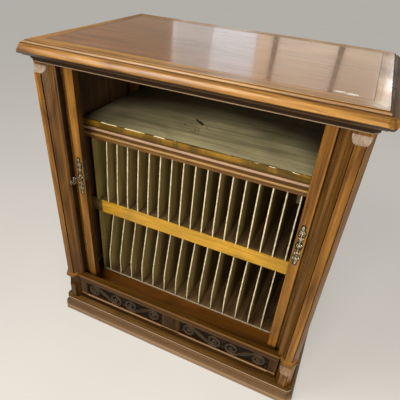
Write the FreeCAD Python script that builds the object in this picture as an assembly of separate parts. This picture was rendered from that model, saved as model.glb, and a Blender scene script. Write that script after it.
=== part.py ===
import FreeCAD
import Part
import math
import os

# Record cabinet with two sideways-rolling tambour doors, in millimetres.
# X runs to the right, Y to the back, Z up. The origin is on the floor, at the
# middle of the cabinet's bounding box.

V = FreeCAD.Vector
ZUP = V(0, 0, 1)

# ---- driving dimensions -------------------------------------------------------------
HEIGHT = 1100.0          # floor to the top's face
BACK = 329.4             # back edge of the top
SIDE = 480.0             # outer face of the carcass sides, from the middle
SIDE_IN = 456.0          # inner face of the carcass sides
CARCASS_BACK = 323.0     # back edge of the side frames
BOARD_BACK = 309.0       # face of the back boards, where every inner board ends

PLINTH_H = 70.0          # top of the plinth moulding
FLOOR_TOP = 132.5        # top of the bottom board
FLOOR_T = 20.0
SOFFIT = 1042.0          # underside of the track board and of the bed moulding
TOP_UNDER = 1059.0       # underside of the top's border frame
FRIEZE_TOP = 200.0
FRIEZE_FRONT = -294.4
FRIEZE_BACK = -273.0
FRIEZE_HALF = 422.0
POST_BACK = -258.0
CAP_Z0, CAP_Z1 = 186.0, 211.0
POST_FOOT = 205.0

# tambour doors
STILE_X0, STILE_X1 = 367.0, 398.0     # right stile with the door open
STILE_Y0, STILE_Y1 = -259.9, -234.9
TRAVEL = 366.7
SLATS = 16
PITCH = 24.0
SLAT_W = 23.2
SLAT_T = 10.0
BEND_X, BEND_Y, BEND_R = 394.0, -200.0, 40.0   # bend of the slats' back faces
FIRST_SLAT = 16.4                     # along the bend, from its start to slat 1
TONGUE_IN, TONGUE_OUT = 2.5, 7.5      # tongue faces, from the slat's back face
TONGUE_HALF = 7.0
GROOVE_IN, GROOVE_OUT = 2.2, 8.4
GROOVE_DEEP = 7.0
TONGUE_LONG = 6.0
END_GAP = 0.3                         # between a door and the boards above and below
GROOVE_TAIL = 150.0                   # Y where the side grooves end
TAPE_T, TAPE_W = 0.9, 30.0
TAPE_Z = (158.0, 477.0, 797.0, 1022.0)

# record rack
RACK_FRONT = -163.0
RACK_BACK = 200.0
RACK_HALF = 391.5                     # inner faces of the rack's sides
BOARD_T = 8.0
LOW_FLOOR = 137.5                     # rack floor, lower tier
MID_UNDER, MID_TOP = 449.0, 505.0     # front strip of the middle shelf
MID_BOARD = 487.0                     # underside of the middle shelf's board
UP_UNDER, UP_TOP = 763.0, 832.0       # moulded front of the upper shelf
UP_BOARD = 812.0
SHELF_BEADS = (780.0, 800.0)          # heights of the two beads on that front
SHELF_HALF = 430.0
LIP_HALF = 379.0
DIVIDER_T = 4.0
LOW_PITCH, LOW_COUNT, LOW_SHIFT = 52.8, 15, 5.5    # the lower set stands a little to the right
KNEE_ROUND = 22.0                     # reach of the bend in a divider's front edge
UP_PITCH, UP_COUNT = 43.5, 17

# lock and plates, on the left door
PLATE_X, PLATE_Z, PLATE_H, PLATE_T = 382.5, 660.0, 150.0, 2.0
KEY_X, KEY_Z = -381.0, 660.0
BOLT_X, BOLT_Z = -378.0, 688.0
CASE = (-391.0, -367.0, -255.0, -242.0, 645.0, 720.0)

OUT = "parts"


# ---- helpers ------------------------------------------------------------------------
def box(x0, x1, y0, y1, z0, z1):
    return Part.makeBox(x1 - x0, y1 - y0, z1 - z0, V(x0, y0, z0))


def wire(path, place):
    """Closed wire. path holds points (a, b) and arcs ((mid), (end)); place makes them 3-D."""
    first = here = path[0]
    edges = []
    for step in path[1:] + [first]:
        if isinstance(step[0], tuple):
            mid, end = step
            edges.append(Part.Arc(place(*here), place(*mid), place(*end)).toShape())
        else:
            end = step
            if math.dist(here, end) < 1e-6:
                continue
            edges.append(Part.LineSegment(place(*here), place(*end)).toShape())
        here = end
    return Part.Wire(edges)


def prism(path, axis, lo, hi):
    """Section pushed from lo to hi along x, y or z."""
    place = {"x": lambda a, b: V(lo, a, b), "y": lambda a, b: V(a, lo, b),
             "z": lambda a, b: V(a, b, lo)}[axis]
    push = {"x": V(hi - lo, 0, 0), "y": V(0, hi - lo, 0), "z": V(0, 0, hi - lo)}[axis]
    return Part.Face(wire(path, place)).extrude(push)


def fuse(first, *rest):
    return first.fuse(list(rest)).removeSplitter() if rest else first


def mirrored(shape):
    return shape.mirror(V(0, 0, 0), V(1, 0, 0))


def run(section, plan):
    """Moulding along a plan line, with mitred corners. section is (outward, height)."""
    points = [V(x, y, 0) for x, y in plan]
    along = (points[1] - points[0]).normalize()
    out = along.cross(ZUP)
    start = points[0]
    profile = wire(section, lambda d, z: start + out * d + ZUP * z)
    spine = Part.makePolygon(points)
    return spine.makePipeShell([profile], True, False, 1)


def three_sides(half, front, back, cant=0.0):
    """Plan line from the back left, round the front, to the back right."""
    if not cant:
        return [(-half, back), (-half, front), (half, front), (half, back)]
    return [(-half, back), (-half, front + cant), (-half + cant, front),
            (half - cant, front), (half, front + cant), (half, back)]


def save(name, shape):
    shape.exportStep(os.path.join(OUT, name + ".step"))
    print(f"{name:28s} solids {len(shape.Solids):2d} valid {shape.isValid()} "
          f"volume {shape.Volume / 1000:9.1f} cm3")


def save_pair(name, right):
    save("right_" + name, right)
    save("left_" + name, mirrored(right))


# ---- plinth -------------------------------------------------------------------------
PLINTH_HALF, PLINTH_FRONT, PLINTH_CANT = 491.5, -318.0, 12.8


def plinth():
    """Swelled base, stepped hollow and nosing, in three mitred lengths on a flat frame."""
    inner = -20.5
    section = [(inner, 0), (10.0, 0), (11.4, 2.0), (11.4, 10.0), ((9.4, 23.0), (3.8, 32.4)),
               (1.4, 34.4), (1.4, 37.2), (0.2, 37.2), (0.2, 40.0), ((-3.4, 45.2), (-5.0, 52.4)),
               (-5.0, 56.6), (-3.0, 56.6), (-3.0, 59.6), (-0.8, 59.6), (0, 60.6), (0, 63.6),
               ((-1.6, 67.6), (-6.0, PLINTH_H)), (inner, PLINTH_H)]
    half, front, cant = PLINTH_HALF, PLINTH_FRONT, PLINTH_CANT
    whole = run(section, three_sides(half, front, CARCASS_BACK, cant))
    # the mitre runs through the corner between the cant and the side
    reach = 60.0
    slope = math.tan(math.radians(22.5))
    cy = front + cant
    wedge = [(half + reach, cy - reach * slope), (half - reach, cy + reach * slope),
             (half - reach, BACK + 10), (half + reach, BACK + 10)]
    right_zone = prism(wedge, "z", -1, HEIGHT)
    right = whole.common(right_zone)
    left = whole.common(mirrored(right_zone))
    front_piece = whole.cut([right_zone, mirrored(right_zone)])
    # flat frame that the carcass stands on
    low, rail, edge = 48.0, -250.0, half + inner + 1
    front_piece = fuse(front_piece, box(-edge, edge, front - inner - 1, rail, low, PLINTH_H)
                       .cut([left, right]))
    shelf = box(440.0, edge, rail, CARCASS_BACK, low, PLINTH_H)
    return front_piece, fuse(left, mirrored(shelf)), fuse(right, shelf)


# ---- base blocks and their caps -------------------------------------------------------
BAND_FACE, NECK_FACE = -309.8, -295.0      # raised band, and the neck above its stop


def weathering(low, neck, top):
    """What is cut away above a band: a hollow from its face back to the neck."""
    front = BAND_FACE - 30.0
    hollow = [(front, low), (BAND_FACE - 0.5, low), ((-299.2, (low + neck) / 2 - 2.4),
              (NECK_FACE, neck)), (NECK_FACE, top), (front, top)]
    return prism(hollow, "x", 400.0, 490.0)


BLOCK_PLAN = [(481.0, POST_BACK), (481.0, -284.0), (467.3, -306.8), (465.3, -306.0),
              (464.0, -309.8), (441.0, -309.8), (440.0, -306.0), (438.2, -306.4),
              (427.0, -290.0), (427.0, POST_BACK)]


def base_block():
    """Canted block with a raised band that ends in a hollow weathering."""
    block = prism(BLOCK_PLAN, "z", PLINTH_H, CAP_Z0)
    return block.cut(weathering(130.0, 157.0, CAP_Z0 + 1))


def base_cap():
    """Moulding planted round the block's head, weathered back to the post's foot."""
    plan = [(427.0, POST_BACK), (427.0, -291.0), (440.5, -310.0), (466.0, -310.0),
            (481.0, -284.5), (481.0, POST_BACK)]
    section = [(-4, CAP_Z0), (0.6, CAP_Z0), ((4.6, 189.4), (6.2, 195)), (6.2, 198),
               ((5.6, 200.6), (3.6, 201.4)), (-1.5, 208.5), (-4, CAP_Z1)]
    ring = run(section, plan)
    core = prism(plan, "z", CAP_Z0, POST_FOOT)
    return fuse(ring, core).cut(box(400.0, FRIEZE_HALF, -330.0, -250.0, CAP_Z0 - 1, CAP_Z1 + 1))


# ---- corner posts -------------------------------------------------------------------
POST_PLAN = [(480.0, POST_BACK), (480.0, -282.9), (467.2, -305.8), (465.2, -305.0),
             (463.5, -309.8), (441.0, -309.8), (439.6, -305.0), (438.0, -306.6),
             (425.6, -290.3), (421.5, -289.0), ((415.5, -287.5), (412.0, -281.5)),
             (409.7, -279.0), (409.7, POST_BACK)]


def front_post():
    """Raised band between two quirks; it stops in a hollow weathering at the head."""
    post = prism(POST_PLAN, "z", FRIEZE_TOP, SOFFIT).cut(weathering(1013.0, 1032.5, SOFFIT + 1))
    foot = box(FRIEZE_HALF - 1, 490.0, -340.0, POST_BACK + 5, FRIEZE_TOP - 1, POST_FOOT)
    return post.cut(foot)


# ---- frieze -------------------------------------------------------------------------
PANEL_Z0, PANEL_Z1 = 100.6, 165.0
PANEL_X0, PANEL_X1 = 39.0, 391.5


def frieze_top_rail():
    """Flat rail with a bevelled lower edge and a rounded lip along its top."""
    section = [(FRIEZE_BACK, PANEL_Z1), (-291.4, PANEL_Z1), (-294.4, 168.0),
               (-294.4, 183.0), ((-297.2, 185.4), (-298.3, 189.5)), (-298.3, 196.5),
               ((-297.3, 199.0), (-294.8, FRIEZE_TOP)), (FRIEZE_BACK, FRIEZE_TOP)]
    return prism(section, "x", -FRIEZE_HALF, FRIEZE_HALF)


def frieze_frame():
    """Bottom rail with three muntins; a bead runs under each panel."""
    frame = box(-FRIEZE_HALF, FRIEZE_HALF, FRIEZE_FRONT, FRIEZE_BACK, PLINTH_H, PANEL_Z1)
    bevel = 3.0
    bead = [(FRIEZE_FRONT + 1, 89.3), (FRIEZE_FRONT, 89.3),
            ((FRIEZE_FRONT - 3.0, 94.1), (FRIEZE_FRONT, 98.9)), (FRIEZE_FRONT + 1, 98.9)]
    for x0, x1 in ((PANEL_X0, PANEL_X1), (-PANEL_X1, -PANEL_X0)):
        frame = frame.cut(box(x0, x1, -300, -260, PANEL_Z0, PANEL_Z1 + 1))
        lip = [(x0 - bevel, FRIEZE_FRONT - 0.1), (x1 + bevel, FRIEZE_FRONT - 0.1),
               (x1, FRIEZE_FRONT + bevel), (x0, FRIEZE_FRONT + bevel)]
        frame = frame.cut(prism(lip, "z", PANEL_Z0, PANEL_Z1 + 1))
        frame = frame.fuse(prism(bead, "x", x0, x1))
    for x in (8.0, 14.0, 20.0):      # reeds on the middle muntin
        groove = [(x - 1.2, FRIEZE_FRONT - 1), (x + 1.2, FRIEZE_FRONT - 1),
                  (x, FRIEZE_FRONT + 1.8)]
        frame = frame.cut(prism(groove, "z", PLINTH_H + 12, PANEL_Z1 + 1))
    return frame.removeSplitter()


# each S-scroll runs between two volutes, given by the eye and the radius of the outer turn
SCROLLS = (((77.0, 136.0, 23.0), (182.0, 134.5, 26.5), 1),
           ((257.0, 134.5, 26.0), (352.0, 136.0, 23.0), -1))
SCROLL_W, SCROLL_RISE = 6.0, 4.0


def volute(x, z, radius, start, hand):
    """Outline of a tapering fillet that winds inwards to the eye from an angle."""
    steps, turns, eye = 10, 1.25, 0.20
    outer, inner = [], []
    for i in range(steps + 1):
        t = i / steps
        angle = start + hand * t * turns * 2 * math.pi
        middle = radius * (1 - (1 - eye) * t)
        half = SCROLL_W / 2 * (1 - 0.45 * t)
        for line, r in ((outer, middle + half), (inner, middle - half)):
            line.append((x + r * math.cos(angle), z + r * math.sin(angle)))
    return outer + inner[::-1]


def s_scroll(left, right, hand):
    """Outlines of one S: two volutes that wind one way, and the band tangent to both."""
    (x0, z0, r0), (x1, z1, r1) = left, right
    span = math.hypot(x1 - x0, z1 - z0)
    start = math.atan2(z1 - z0, x1 - x0) + hand * math.acos((r0 + r1) / span)
    out = (math.cos(start), math.sin(start))
    half = SCROLL_W / 2 + 1
    band = [(x0 + (r0 + half) * out[0], z0 + (r0 + half) * out[1]),
            (x0 + (r0 - half) * out[0], z0 + (r0 - half) * out[1]),
            (x1 - (r1 + half) * out[0], z1 - (r1 + half) * out[1]),
            (x1 - (r1 - half) * out[0], z1 - (r1 - half) * out[1])]
    return [volute(x0, z0, r0, start, hand), volute(x1, z1, r1, start + math.pi, hand), band]


def frieze_panel():
    """Sunk board with two carved S-scrolls; the fine leaf work comes from the carver."""
    ground, back = -287.0, -274.0
    panel = box(PANEL_X0, PANEL_X1, ground, back, PANEL_Z0, PANEL_Z1)
    pieces = []
    for left, right, hand in SCROLLS:
        for outline in s_scroll(left, right, hand):
            face = Part.Face(wire(outline, lambda a, b: V(a, ground, b)))
            pieces.append(face.extrude(V(0, -SCROLL_RISE, 0)))
    return panel, pieces


# ---- top ----------------------------------------------------------------------------
TOP_HALF, TOP_FRONT = 486.3, -301.4       # arris of the top's flat
LIP = 28.0                                # how far the moulding stands out from it
PARE_HIGH, PARE_LOW = (11.5, 1096.0), (27.0, 1071.0)   # corner facet: distance out, height
FIELD_X, FIELD_FRONT, FIELD_BACK = 452.5, -254.0, 282.0
FIELD_T, FIELD_LEDGE = 18.0, 12.0


def top_frame():
    """Mitred border: an arris, a bead, a quirk, a broad ovolo and a rounded underside."""
    section = [(-14, TOP_UNDER), (9.0, TOP_UNDER), (9.0, 1061.2), ((19.0, 1064.6), (25.6, 1071.4)),
               (LIP, 1073.4), (LIP, 1076.0), ((20.0, 1087.4), (8.2, 1092.6)), (7.0, 1091.6),
               (6.2, 1093.4), ((4.2, 1096.4), (0.9, 1097.6)), (0, 1098.4), (0, HEIGHT),
               (-14, HEIGHT)]
    plan = three_sides(TOP_HALF, TOP_FRONT, BACK)
    edge = run(section, plan)
    board = prism(plan, "z", TOP_UNDER, HEIGHT)
    frame = edge.fuse(board).removeSplitter()
    # each front corner of the ovolo is pared off by a sloping plane
    far, deep, half = 80.0, TOP_UNDER - 5.0, 60.0
    outline = [PARE_HIGH, (far, PARE_HIGH[1]), (far, deep), (PARE_LOW[0], deep), PARE_LOW]
    slope = math.sqrt(0.5)
    face = Part.Face(wire(outline, lambda out, z: V(TOP_HALF + slope * out - half,
                                                    TOP_FRONT - slope * out - half, z)))
    pared = face.extrude(V(2 * half, 2 * half, 0))
    frame = frame.cut([pared, mirrored(pared)])
    ledge = FIELD_LEDGE
    frame = frame.cut(box(-FIELD_X + ledge, FIELD_X - ledge, FIELD_FRONT + ledge,
                          FIELD_BACK - ledge, TOP_UNDER - 1, HEIGHT + 1))
    return frame.cut(field_board())


def field_board():
    return box(-FIELD_X, FIELD_X, FIELD_FRONT, FIELD_BACK, HEIGHT - FIELD_T, HEIGHT + 1)


def top_panel():
    panel = field_board().common(box(-FIELD_X, FIELD_X, -400, 400, TOP_UNDER, HEIGHT))
    edges = [e for e in panel.Edges if all(abs(v.Z - HEIGHT) < 1e-6 for v in e.Vertexes)]
    return panel.makeChamfer(0.6, edges)


def bed_moulding():
    """Small hollow moulding in the angle between carcass and top."""
    section = [(-20, SOFFIT), (4.4, SOFFIT), (5.2, 1042.8), (5.2, 1045.2), ((6.4, 1049.8),
               (8.6, 1052.6)), (10.4, 1052.6), (10.4, TOP_UNDER), (-20, TOP_UNDER)]
    return run(section, three_sides(479.0, FRIEZE_FRONT, CARCASS_BACK, 12.0))


# ---- door tracks ----------------------------------------------------------------------
def bend_pair(z0, z1, inner, outer):
    """Quarter ring of the track's bend, between two offsets from the slats' back face."""
    def disc(r):
        return Part.makeCylinder(r, z1 - z0, V(BEND_X, BEND_Y, z0), ZUP, 90)
    ring = disc(BEND_R + outer).cut(disc(BEND_R + inner))
    ring.rotate(V(BEND_X, BEND_Y, 0), ZUP, -90)
    return ring


def groove(z0, z1):
    """Both doors' groove: along the front, round each bend and back along each side."""
    straight = box(-BEND_X, BEND_X, BEND_Y - BEND_R - GROOVE_OUT,
                   BEND_Y - BEND_R - GROOVE_IN, z0, z1)
    bend = bend_pair(z0, z1, GROOVE_IN, GROOVE_OUT)
    side = box(BEND_X + BEND_R + GROOVE_IN, BEND_X + BEND_R + GROOVE_OUT,
               BEND_Y, GROOVE_TAIL, z0, z1)
    return fuse(straight, bend, side, mirrored(bend), mirrored(side))


def track_board(bed):
    board = box(-459.2, 459.2, -274.6, BOARD_BACK, SOFFIT, TOP_UNDER).cut(bed)
    return board.cut(groove(SOFFIT - 1, SOFFIT + GROOVE_DEEP))


def bottom_board():
    board = box(-SIDE_IN, SIDE_IN, FRIEZE_BACK, BOARD_BACK, FLOOR_TOP - FLOOR_T, FLOOR_TOP)
    for side in (1, -1):
        x0, x1 = sorted((side * FRIEZE_HALF, side * 490))
        board = board.cut(box(x0, x1, -300, POST_BACK, 0, 200))
    return board.cut(groove(FLOOR_TOP - GROOVE_DEEP, FLOOR_TOP + 1))


# ---- tambour doors ------------------------------------------------------------------
def on_path(s):
    """Point and heading angle on the line of the slats' back faces, s from the bend."""
    quarter = BEND_R * math.pi / 2
    if s < quarter:
        a = s / BEND_R
        return BEND_X + BEND_R * math.sin(a), BEND_Y - BEND_R * math.cos(a), a
    return BEND_X + BEND_R, BEND_Y + s - quarter, math.pi / 2


def tambour_slats():
    """Crowned slats with shouldered ends; each tongue runs in the grooves."""
    half = SLAT_W / 2
    body = [(-half, 0), (half, 0), (half, 0 - SLAT_T + 2.4), ((0, -SLAT_T), (-half, 2.4 - SLAT_T))]
    low, high = FLOOR_TOP + END_GAP, SOFFIT - END_GAP
    slats = []
    for i in range(SLATS):
        x, y, a = on_path(FIRST_SLAT + PITCH * i)
        slat = prism(body, "z", low, high)
        slat = fuse(slat, box(-TONGUE_HALF, TONGUE_HALF, -TONGUE_OUT, -TONGUE_IN,
                              low - TONGUE_LONG, high + TONGUE_LONG))
        slat.rotate(V(0, 0, 0), ZUP, math.degrees(a))
        slat.translate(V(x, y, 0))
        slats.append(slat)
    return Part.Compound(slats)


def tambour_tapes():
    """Webbing glued along the slats' backs, from the stile to the last slat."""
    lines = []
    for i in range(SLATS):
        x, y, a = on_path(FIRST_SLAT + PITCH * i)
        lines.append((V(x, y, 0), V(math.cos(a), math.sin(a), 0)))
    corners = []
    for i in range(SLATS - 1):
        (p, u), (q, w) = lines[i], lines[i + 1]
        turn = u.cross(w).z
        if abs(turn) > 1e-9:
            corners.append(p + u * ((q - p).cross(w).z / turn))
    p, u = lines[0]
    start = p + u * ((STILE_X1 - p.x) / u.x)
    end = lines[-1][0] + lines[-1][1] * (SLAT_W / 2)
    outer = [start] + corners + [end]
    inner = []
    for i, point in enumerate(outer):
        before = (point - outer[i - 1]).normalize() if i else (outer[1] - point).normalize()
        after = (outer[i + 1] - point).normalize() if i + 1 < len(outer) else before
        normal = (V(-before.y, before.x, 0) + V(-after.y, after.x, 0)).normalize()
        stretch = TAPE_T / normal.dot(V(-before.y, before.x, 0))
        inner.append(point + normal * stretch)
    # the end on the stile is cut square to the stile's edge
    inner[0] = inner[1] + (inner[0] - inner[1]) * ((STILE_X1 - inner[1].x)
                                                   / (inner[0].x - inner[1].x))
    plan = [(v.x, v.y) for v in outer] + [(v.x, v.y) for v in reversed(inner)]
    return Part.Compound([prism(plan, "z", z - TAPE_W / 2, z + TAPE_W / 2) for z in TAPE_Z])


def door_stile():
    """Leading stile with eased front edges and a tongue at each end."""
    r = 2.5
    k = r * (1 - math.sqrt(0.5))
    plan = [(STILE_X0, STILE_Y1), (STILE_X0, STILE_Y0 + r),
            ((STILE_X0 + k, STILE_Y0 + k), (STILE_X0 + r, STILE_Y0)),
            (STILE_X1 - r, STILE_Y0), ((STILE_X1 - k, STILE_Y0 + k), (STILE_X1, STILE_Y0 + r)),
            (STILE_X1, STILE_Y1)]
    low, high = FLOOR_TOP + END_GAP, SOFFIT - END_GAP
    back = BEND_Y - BEND_R
    return fuse(prism(plan, "z", low, high),
                box(STILE_X0 + 4, STILE_X1 - 6, back - TONGUE_OUT, back - TONGUE_IN,
                    low - TONGUE_LONG, high + TONGUE_LONG))


PLATE_QUARTER = ((0, 75.0), (3.4, 73.6), (5.4, 70.4), (5.0, 66.2), (4.4, 63.4), (7.0, 60.6),
                 (11.0, 56.6), (12.2, 51.4), (10.6, 45.4), (8.2, 39.0), (8.6, 32.0), (10.0, 26.0),
                 (8.8, 20.0), (8.8, 14.4), (11.6, 9.4), (12.6, 4.6), (12.2, 0))


def plate_outline():
    """Finger plate: a waisted shield with a lobed finial at each end, about its middle."""
    right = list(PLATE_QUARTER) + [(a, -b) for a, b in PLATE_QUARTER[-2::-1]]
    return right + [(-a, b) for a, b in right[-2:0:-1]]


def finger_plate(centre_x):
    front = STILE_Y0 - PLATE_T
    return Part.Face(wire(plate_outline(), lambda a, b: V(centre_x + a, front, PLATE_Z + b))
                     ).extrude(V(0, PLATE_T, 0))


def cylinder_y(x, z, y0, y1, r):
    return Part.makeCylinder(r, y1 - y0, V(x, y0, z), V(0, 1, 0))


def keyhole(y0, y1, shank, slot, drop):
    return fuse(cylinder_y(KEY_X, KEY_Z, y0, y1, shank),
                box(KEY_X - slot / 2, KEY_X + slot / 2, y0, y1, KEY_Z - drop, KEY_Z))


SHANK_R, BIT_R, BIT_T = 2.4, 7.0, 1.8


def key():
    """Turned shank and collars, a flat bit inside the case and a pierced three-lobed bow."""
    bow_y, lobe, ring = -294.0, 7.2, 9.0
    shank = cylinder_y(KEY_X, KEY_Z, bow_y - 4, -244.5, SHANK_R)
    collar = cylinder_y(KEY_X, KEY_Z, -272.0, -269.0, 4.0)
    knop = cylinder_y(KEY_X, KEY_Z, bow_y + 11.5, bow_y + 14.5, 3.6)
    bit = box(KEY_X - BIT_T / 2, KEY_X + BIT_T / 2, -252.0, -246.0, KEY_Z - BIT_R, KEY_Z)
    thick = 3.0
    bow, holes = None, []
    for i in range(3):
        a = math.radians(180 + 120 * (i - 1))
        cy, cz = bow_y + ring * math.cos(a) - 3.0, KEY_Z + ring * math.sin(a)
        disc = Part.makeCylinder(lobe, thick, V(KEY_X - thick / 2, cy, cz), V(1, 0, 0))
        holes.append(Part.makeCylinder(lobe - 3.0, thick + 2, V(KEY_X - thick / 2 - 1, cy, cz),
                                       V(1, 0, 0)))
        bow = disc if bow is None else bow.fuse(disc)
    middle = Part.makeCylinder(4.6, thick, V(KEY_X - thick / 2, bow_y - 3.0, KEY_Z), V(1, 0, 0))
    return fuse(bow.fuse(middle).cut(holes), shank, collar, knop, bit)


def lock_case():
    """Thin steel box let into the stile's closing edge; the hook comes out of its slot."""
    x0, x1, y0, y1, z0, z1 = CASE
    wall = 1.5
    case = box(*CASE).cut(box(x0 + wall, x1 - wall, y0 + wall, y1 - wall, z0 + wall, z1 - wall))
    case = case.cut(keyhole(y0 - 1, y0 + wall + 1, SHANK_R + 0.6, 2.8, BIT_R + 0.6))
    case = case.cut(bolt_slot(x1 - wall - 1, x1 + 1))
    stud = cylinder_y(BOLT_X, BOLT_Z, y0 + wall, y1 - wall, 2.0)
    return fuse(case, stud)


BOLT_Y0, BOLT_Y1 = -250.5, -247.5


def bolt_slot(x0, x1):
    return box(x0, x1, BOLT_Y0 - 0.7, BOLT_Y1 + 0.7, BOLT_Z - 7.0, BOLT_Z + 24.0)


def lock_bolt():
    """Hook that swings out of the edge: drawn upright, as it lies when unlocked."""
    reach, r = 21.0, 4.2
    arm = [(BOLT_X - r, BOLT_Z), ((BOLT_X, BOLT_Z - r), (BOLT_X + r, BOLT_Z)),
           (BOLT_X + 3.2, BOLT_Z + 12), (BOLT_X + 7.0, BOLT_Z + 13.5),
           ((BOLT_X + 6.0, BOLT_Z + 19.0), (BOLT_X, BOLT_Z + reach)),
           ((BOLT_X - 4.0, BOLT_Z + 11.0), (BOLT_X - r, BOLT_Z))]
    hook = prism(arm, "y", BOLT_Y0, BOLT_Y1)
    return hook.cut(cylinder_y(BOLT_X, BOLT_Z, BOLT_Y0 - 1, BOLT_Y1 + 1, 2.05))


STRIKE_T = 1.5


def strike_zone():
    """Where the thrown hook reaches into the right stile."""
    return box(STILE_X0 - 1, STILE_X0 + 14.0, BOLT_Y0 - 1.2, BOLT_Y1 + 1.2,
               BOLT_Z - 13.0, BOLT_Z + 25.0)


def strike_plate():
    plate = box(STILE_X0, STILE_X0 + STRIKE_T, -255.0, -243.0, BOLT_Z - 26, BOLT_Z + 38)
    return plate.cut(strike_zone())


# ---- carcass sides and back -----------------------------------------------------------
STILE_W, RAIL_TOP, RAIL_LOW = 62.0, 66.0, 92.0
OPEN_Y0, OPEN_Y1 = POST_BACK + STILE_W, CARCASS_BACK - STILE_W
OPEN_Z0, OPEN_Z1 = PLINTH_H + RAIL_LOW, SOFFIT - RAIL_TOP
PANEL_IN, PANEL_OUT = 464.0, 474.0


def side_panel():
    """Fielded panel held in grooves; the field rises by a bevel all round."""
    tongue, margin, bevel = 8.0, 8.0, 26.0
    y0, y1, z0, z1 = OPEN_Y0 - tongue, OPEN_Y1 + tongue, OPEN_Z0 - tongue, OPEN_Z1 + tongue
    edge_t = 5.0
    slab = box(PANEL_IN, PANEL_IN + edge_t, y0, y1, z0, z1)

    def ring(inset, x):
        return Part.makePolygon([V(x, y0 + inset, z0 + inset), V(x, y1 - inset, z0 + inset),
                                 V(x, y1 - inset, z1 - inset), V(x, y0 + inset, z1 - inset),
                                 V(x, y0 + inset, z0 + inset)])
    field = Part.makeLoft([ring(tongue + margin, PANEL_IN + edge_t),
                           ring(tongue + margin + bevel, PANEL_OUT)], True, True)
    return fuse(slab, field)


def side_frame(panel):
    """Stiles and rails of one side, moulded round the opening, rebated for the back."""
    frame = box(SIDE_IN, SIDE, POST_BACK, CARCASS_BACK, PLINTH_H, SOFFIT)
    frame = frame.cut(box(SIDE_IN - 1, SIDE + 1, OPEN_Y0, OPEN_Y1, OPEN_Z0, OPEN_Z1))

    def ring(grow, x):
        return Part.makePolygon([V(x, OPEN_Y0 - grow, OPEN_Z0 - grow),
                                 V(x, OPEN_Y1 + grow, OPEN_Z0 - grow),
                                 V(x, OPEN_Y1 + grow, OPEN_Z1 + grow),
                                 V(x, OPEN_Y0 - grow, OPEN_Z1 + grow),
                                 V(x, OPEN_Y0 - grow, OPEN_Z0 - grow)])
    moulded = 5.0
    frame = frame.cut(Part.makeLoft([ring(0, SIDE - moulded), ring(moulded, SIDE)], True, True))
    rebate = box(SIDE_IN - 1, SIDE_IN + 12, BOARD_BACK, CARCASS_BACK + 1, PLINTH_H - 1, SOFFIT + 1)
    return frame.cut([panel, rebate])


def back_panel():
    """Back of upright boards with a V-joint between each two."""
    half, boards, thick = SIDE_IN + 12.0, 6, 12.0
    face = BOARD_BACK + thick
    back = box(-half, half, BOARD_BACK, face, PLINTH_H, SOFFIT)
    back = back.fuse(box(-459.0, 459.0, BOARD_BACK, face, SOFFIT, TOP_UNDER)).removeSplitter()
    cuts = []
    for i in range(1, boards):
        x = -half + 2 * half * i / boards
        cuts.append(prism([(x - 2.5, face + 0.1), (x + 2.5, face + 0.1), (x, face - 2.5)],
                          "z", PLINTH_H - 1, TOP_UNDER + 1))
    return back.cut(cuts)


# ---- record rack ----------------------------------------------------------------------
def shelf_moulding():
    """Front of the upper shelf: two beads with quirks and a square lower edge."""
    face, back = RACK_FRONT + 2.5, RACK_FRONT + 13.0
    section = [(back, UP_UNDER), (face, UP_UNDER)]
    for z in SHELF_BEADS:
        section += [(face, z - 7), (face + 1.2, z - 6.2),
                    ((face - 4.0, z), (face + 1.2, z + 6.2)), (face, z + 7)]
    section += [(face, UP_BOARD), (back, UP_BOARD)]
    return prism(section, "x", -SHELF_HALF, SHELF_HALF)


def upper_shelf():
    shelf = box(-SHELF_HALF, SHELF_HALF, RACK_FRONT, BOARD_BACK, UP_BOARD, UP_TOP)
    edges = [e for e in shelf.Edges
             if all(abs(v.Y - RACK_FRONT) < 1e-6 and abs(v.Z - UP_TOP) < 1e-6 for v in e.Vertexes)]
    return shelf.makeFillet(2.0, edges)


def rack_side(rail, moulding):
    side = box(RACK_HALF, RACK_HALF + BOARD_T, RACK_FRONT, RACK_BACK + BOARD_T,
               LOW_FLOOR, UP_BOARD)
    notch = box(RACK_HALF - 1, RACK_HALF + BOARD_T + 1, RACK_FRONT - 1, RACK_FRONT + 13,
                UP_UNDER, UP_BOARD + 1)
    notch_low = box(RACK_HALF - 1, RACK_HALF + BOARD_T + 1, RACK_FRONT - 1, RACK_FRONT + 12,
                    MID_UNDER, MID_TOP)
    return side.cut([notch, notch_low])


def swept_divider(x, foot, head, knee, top, lean):
    """Upright board from foot to head whose front edge bends back at the height knee
    and stands lean behind RACK_FRONT at the height top."""
    tilt = math.atan2(lean, top - knee)
    sag = KNEE_ROUND * math.tan(tilt / 4)
    middle = (RACK_FRONT + sag * math.cos(tilt / 2), knee - sag * math.sin(tilt / 2))
    above = (RACK_FRONT + KNEE_ROUND * math.sin(tilt), knee + KNEE_ROUND * math.cos(tilt))
    crown = RACK_FRONT + (head - knee) * math.tan(tilt)
    side = [(RACK_BACK, foot), (RACK_FRONT, foot), (RACK_FRONT, knee - KNEE_ROUND),
            (middle, above), (crown, head), (RACK_BACK, head)]
    return prism(side, "x", x - DIVIDER_T / 2, x + DIVIDER_T / 2)


def lower_divider(x):
    return swept_divider(x, LOW_FLOOR, MID_BOARD, LOW_FLOOR + 90.0, MID_UNDER, 58.0)


def upper_divider(x):
    return swept_divider(x, MID_TOP, UP_BOARD, MID_TOP + 43.0, UP_UNDER, 17.0)


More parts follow.
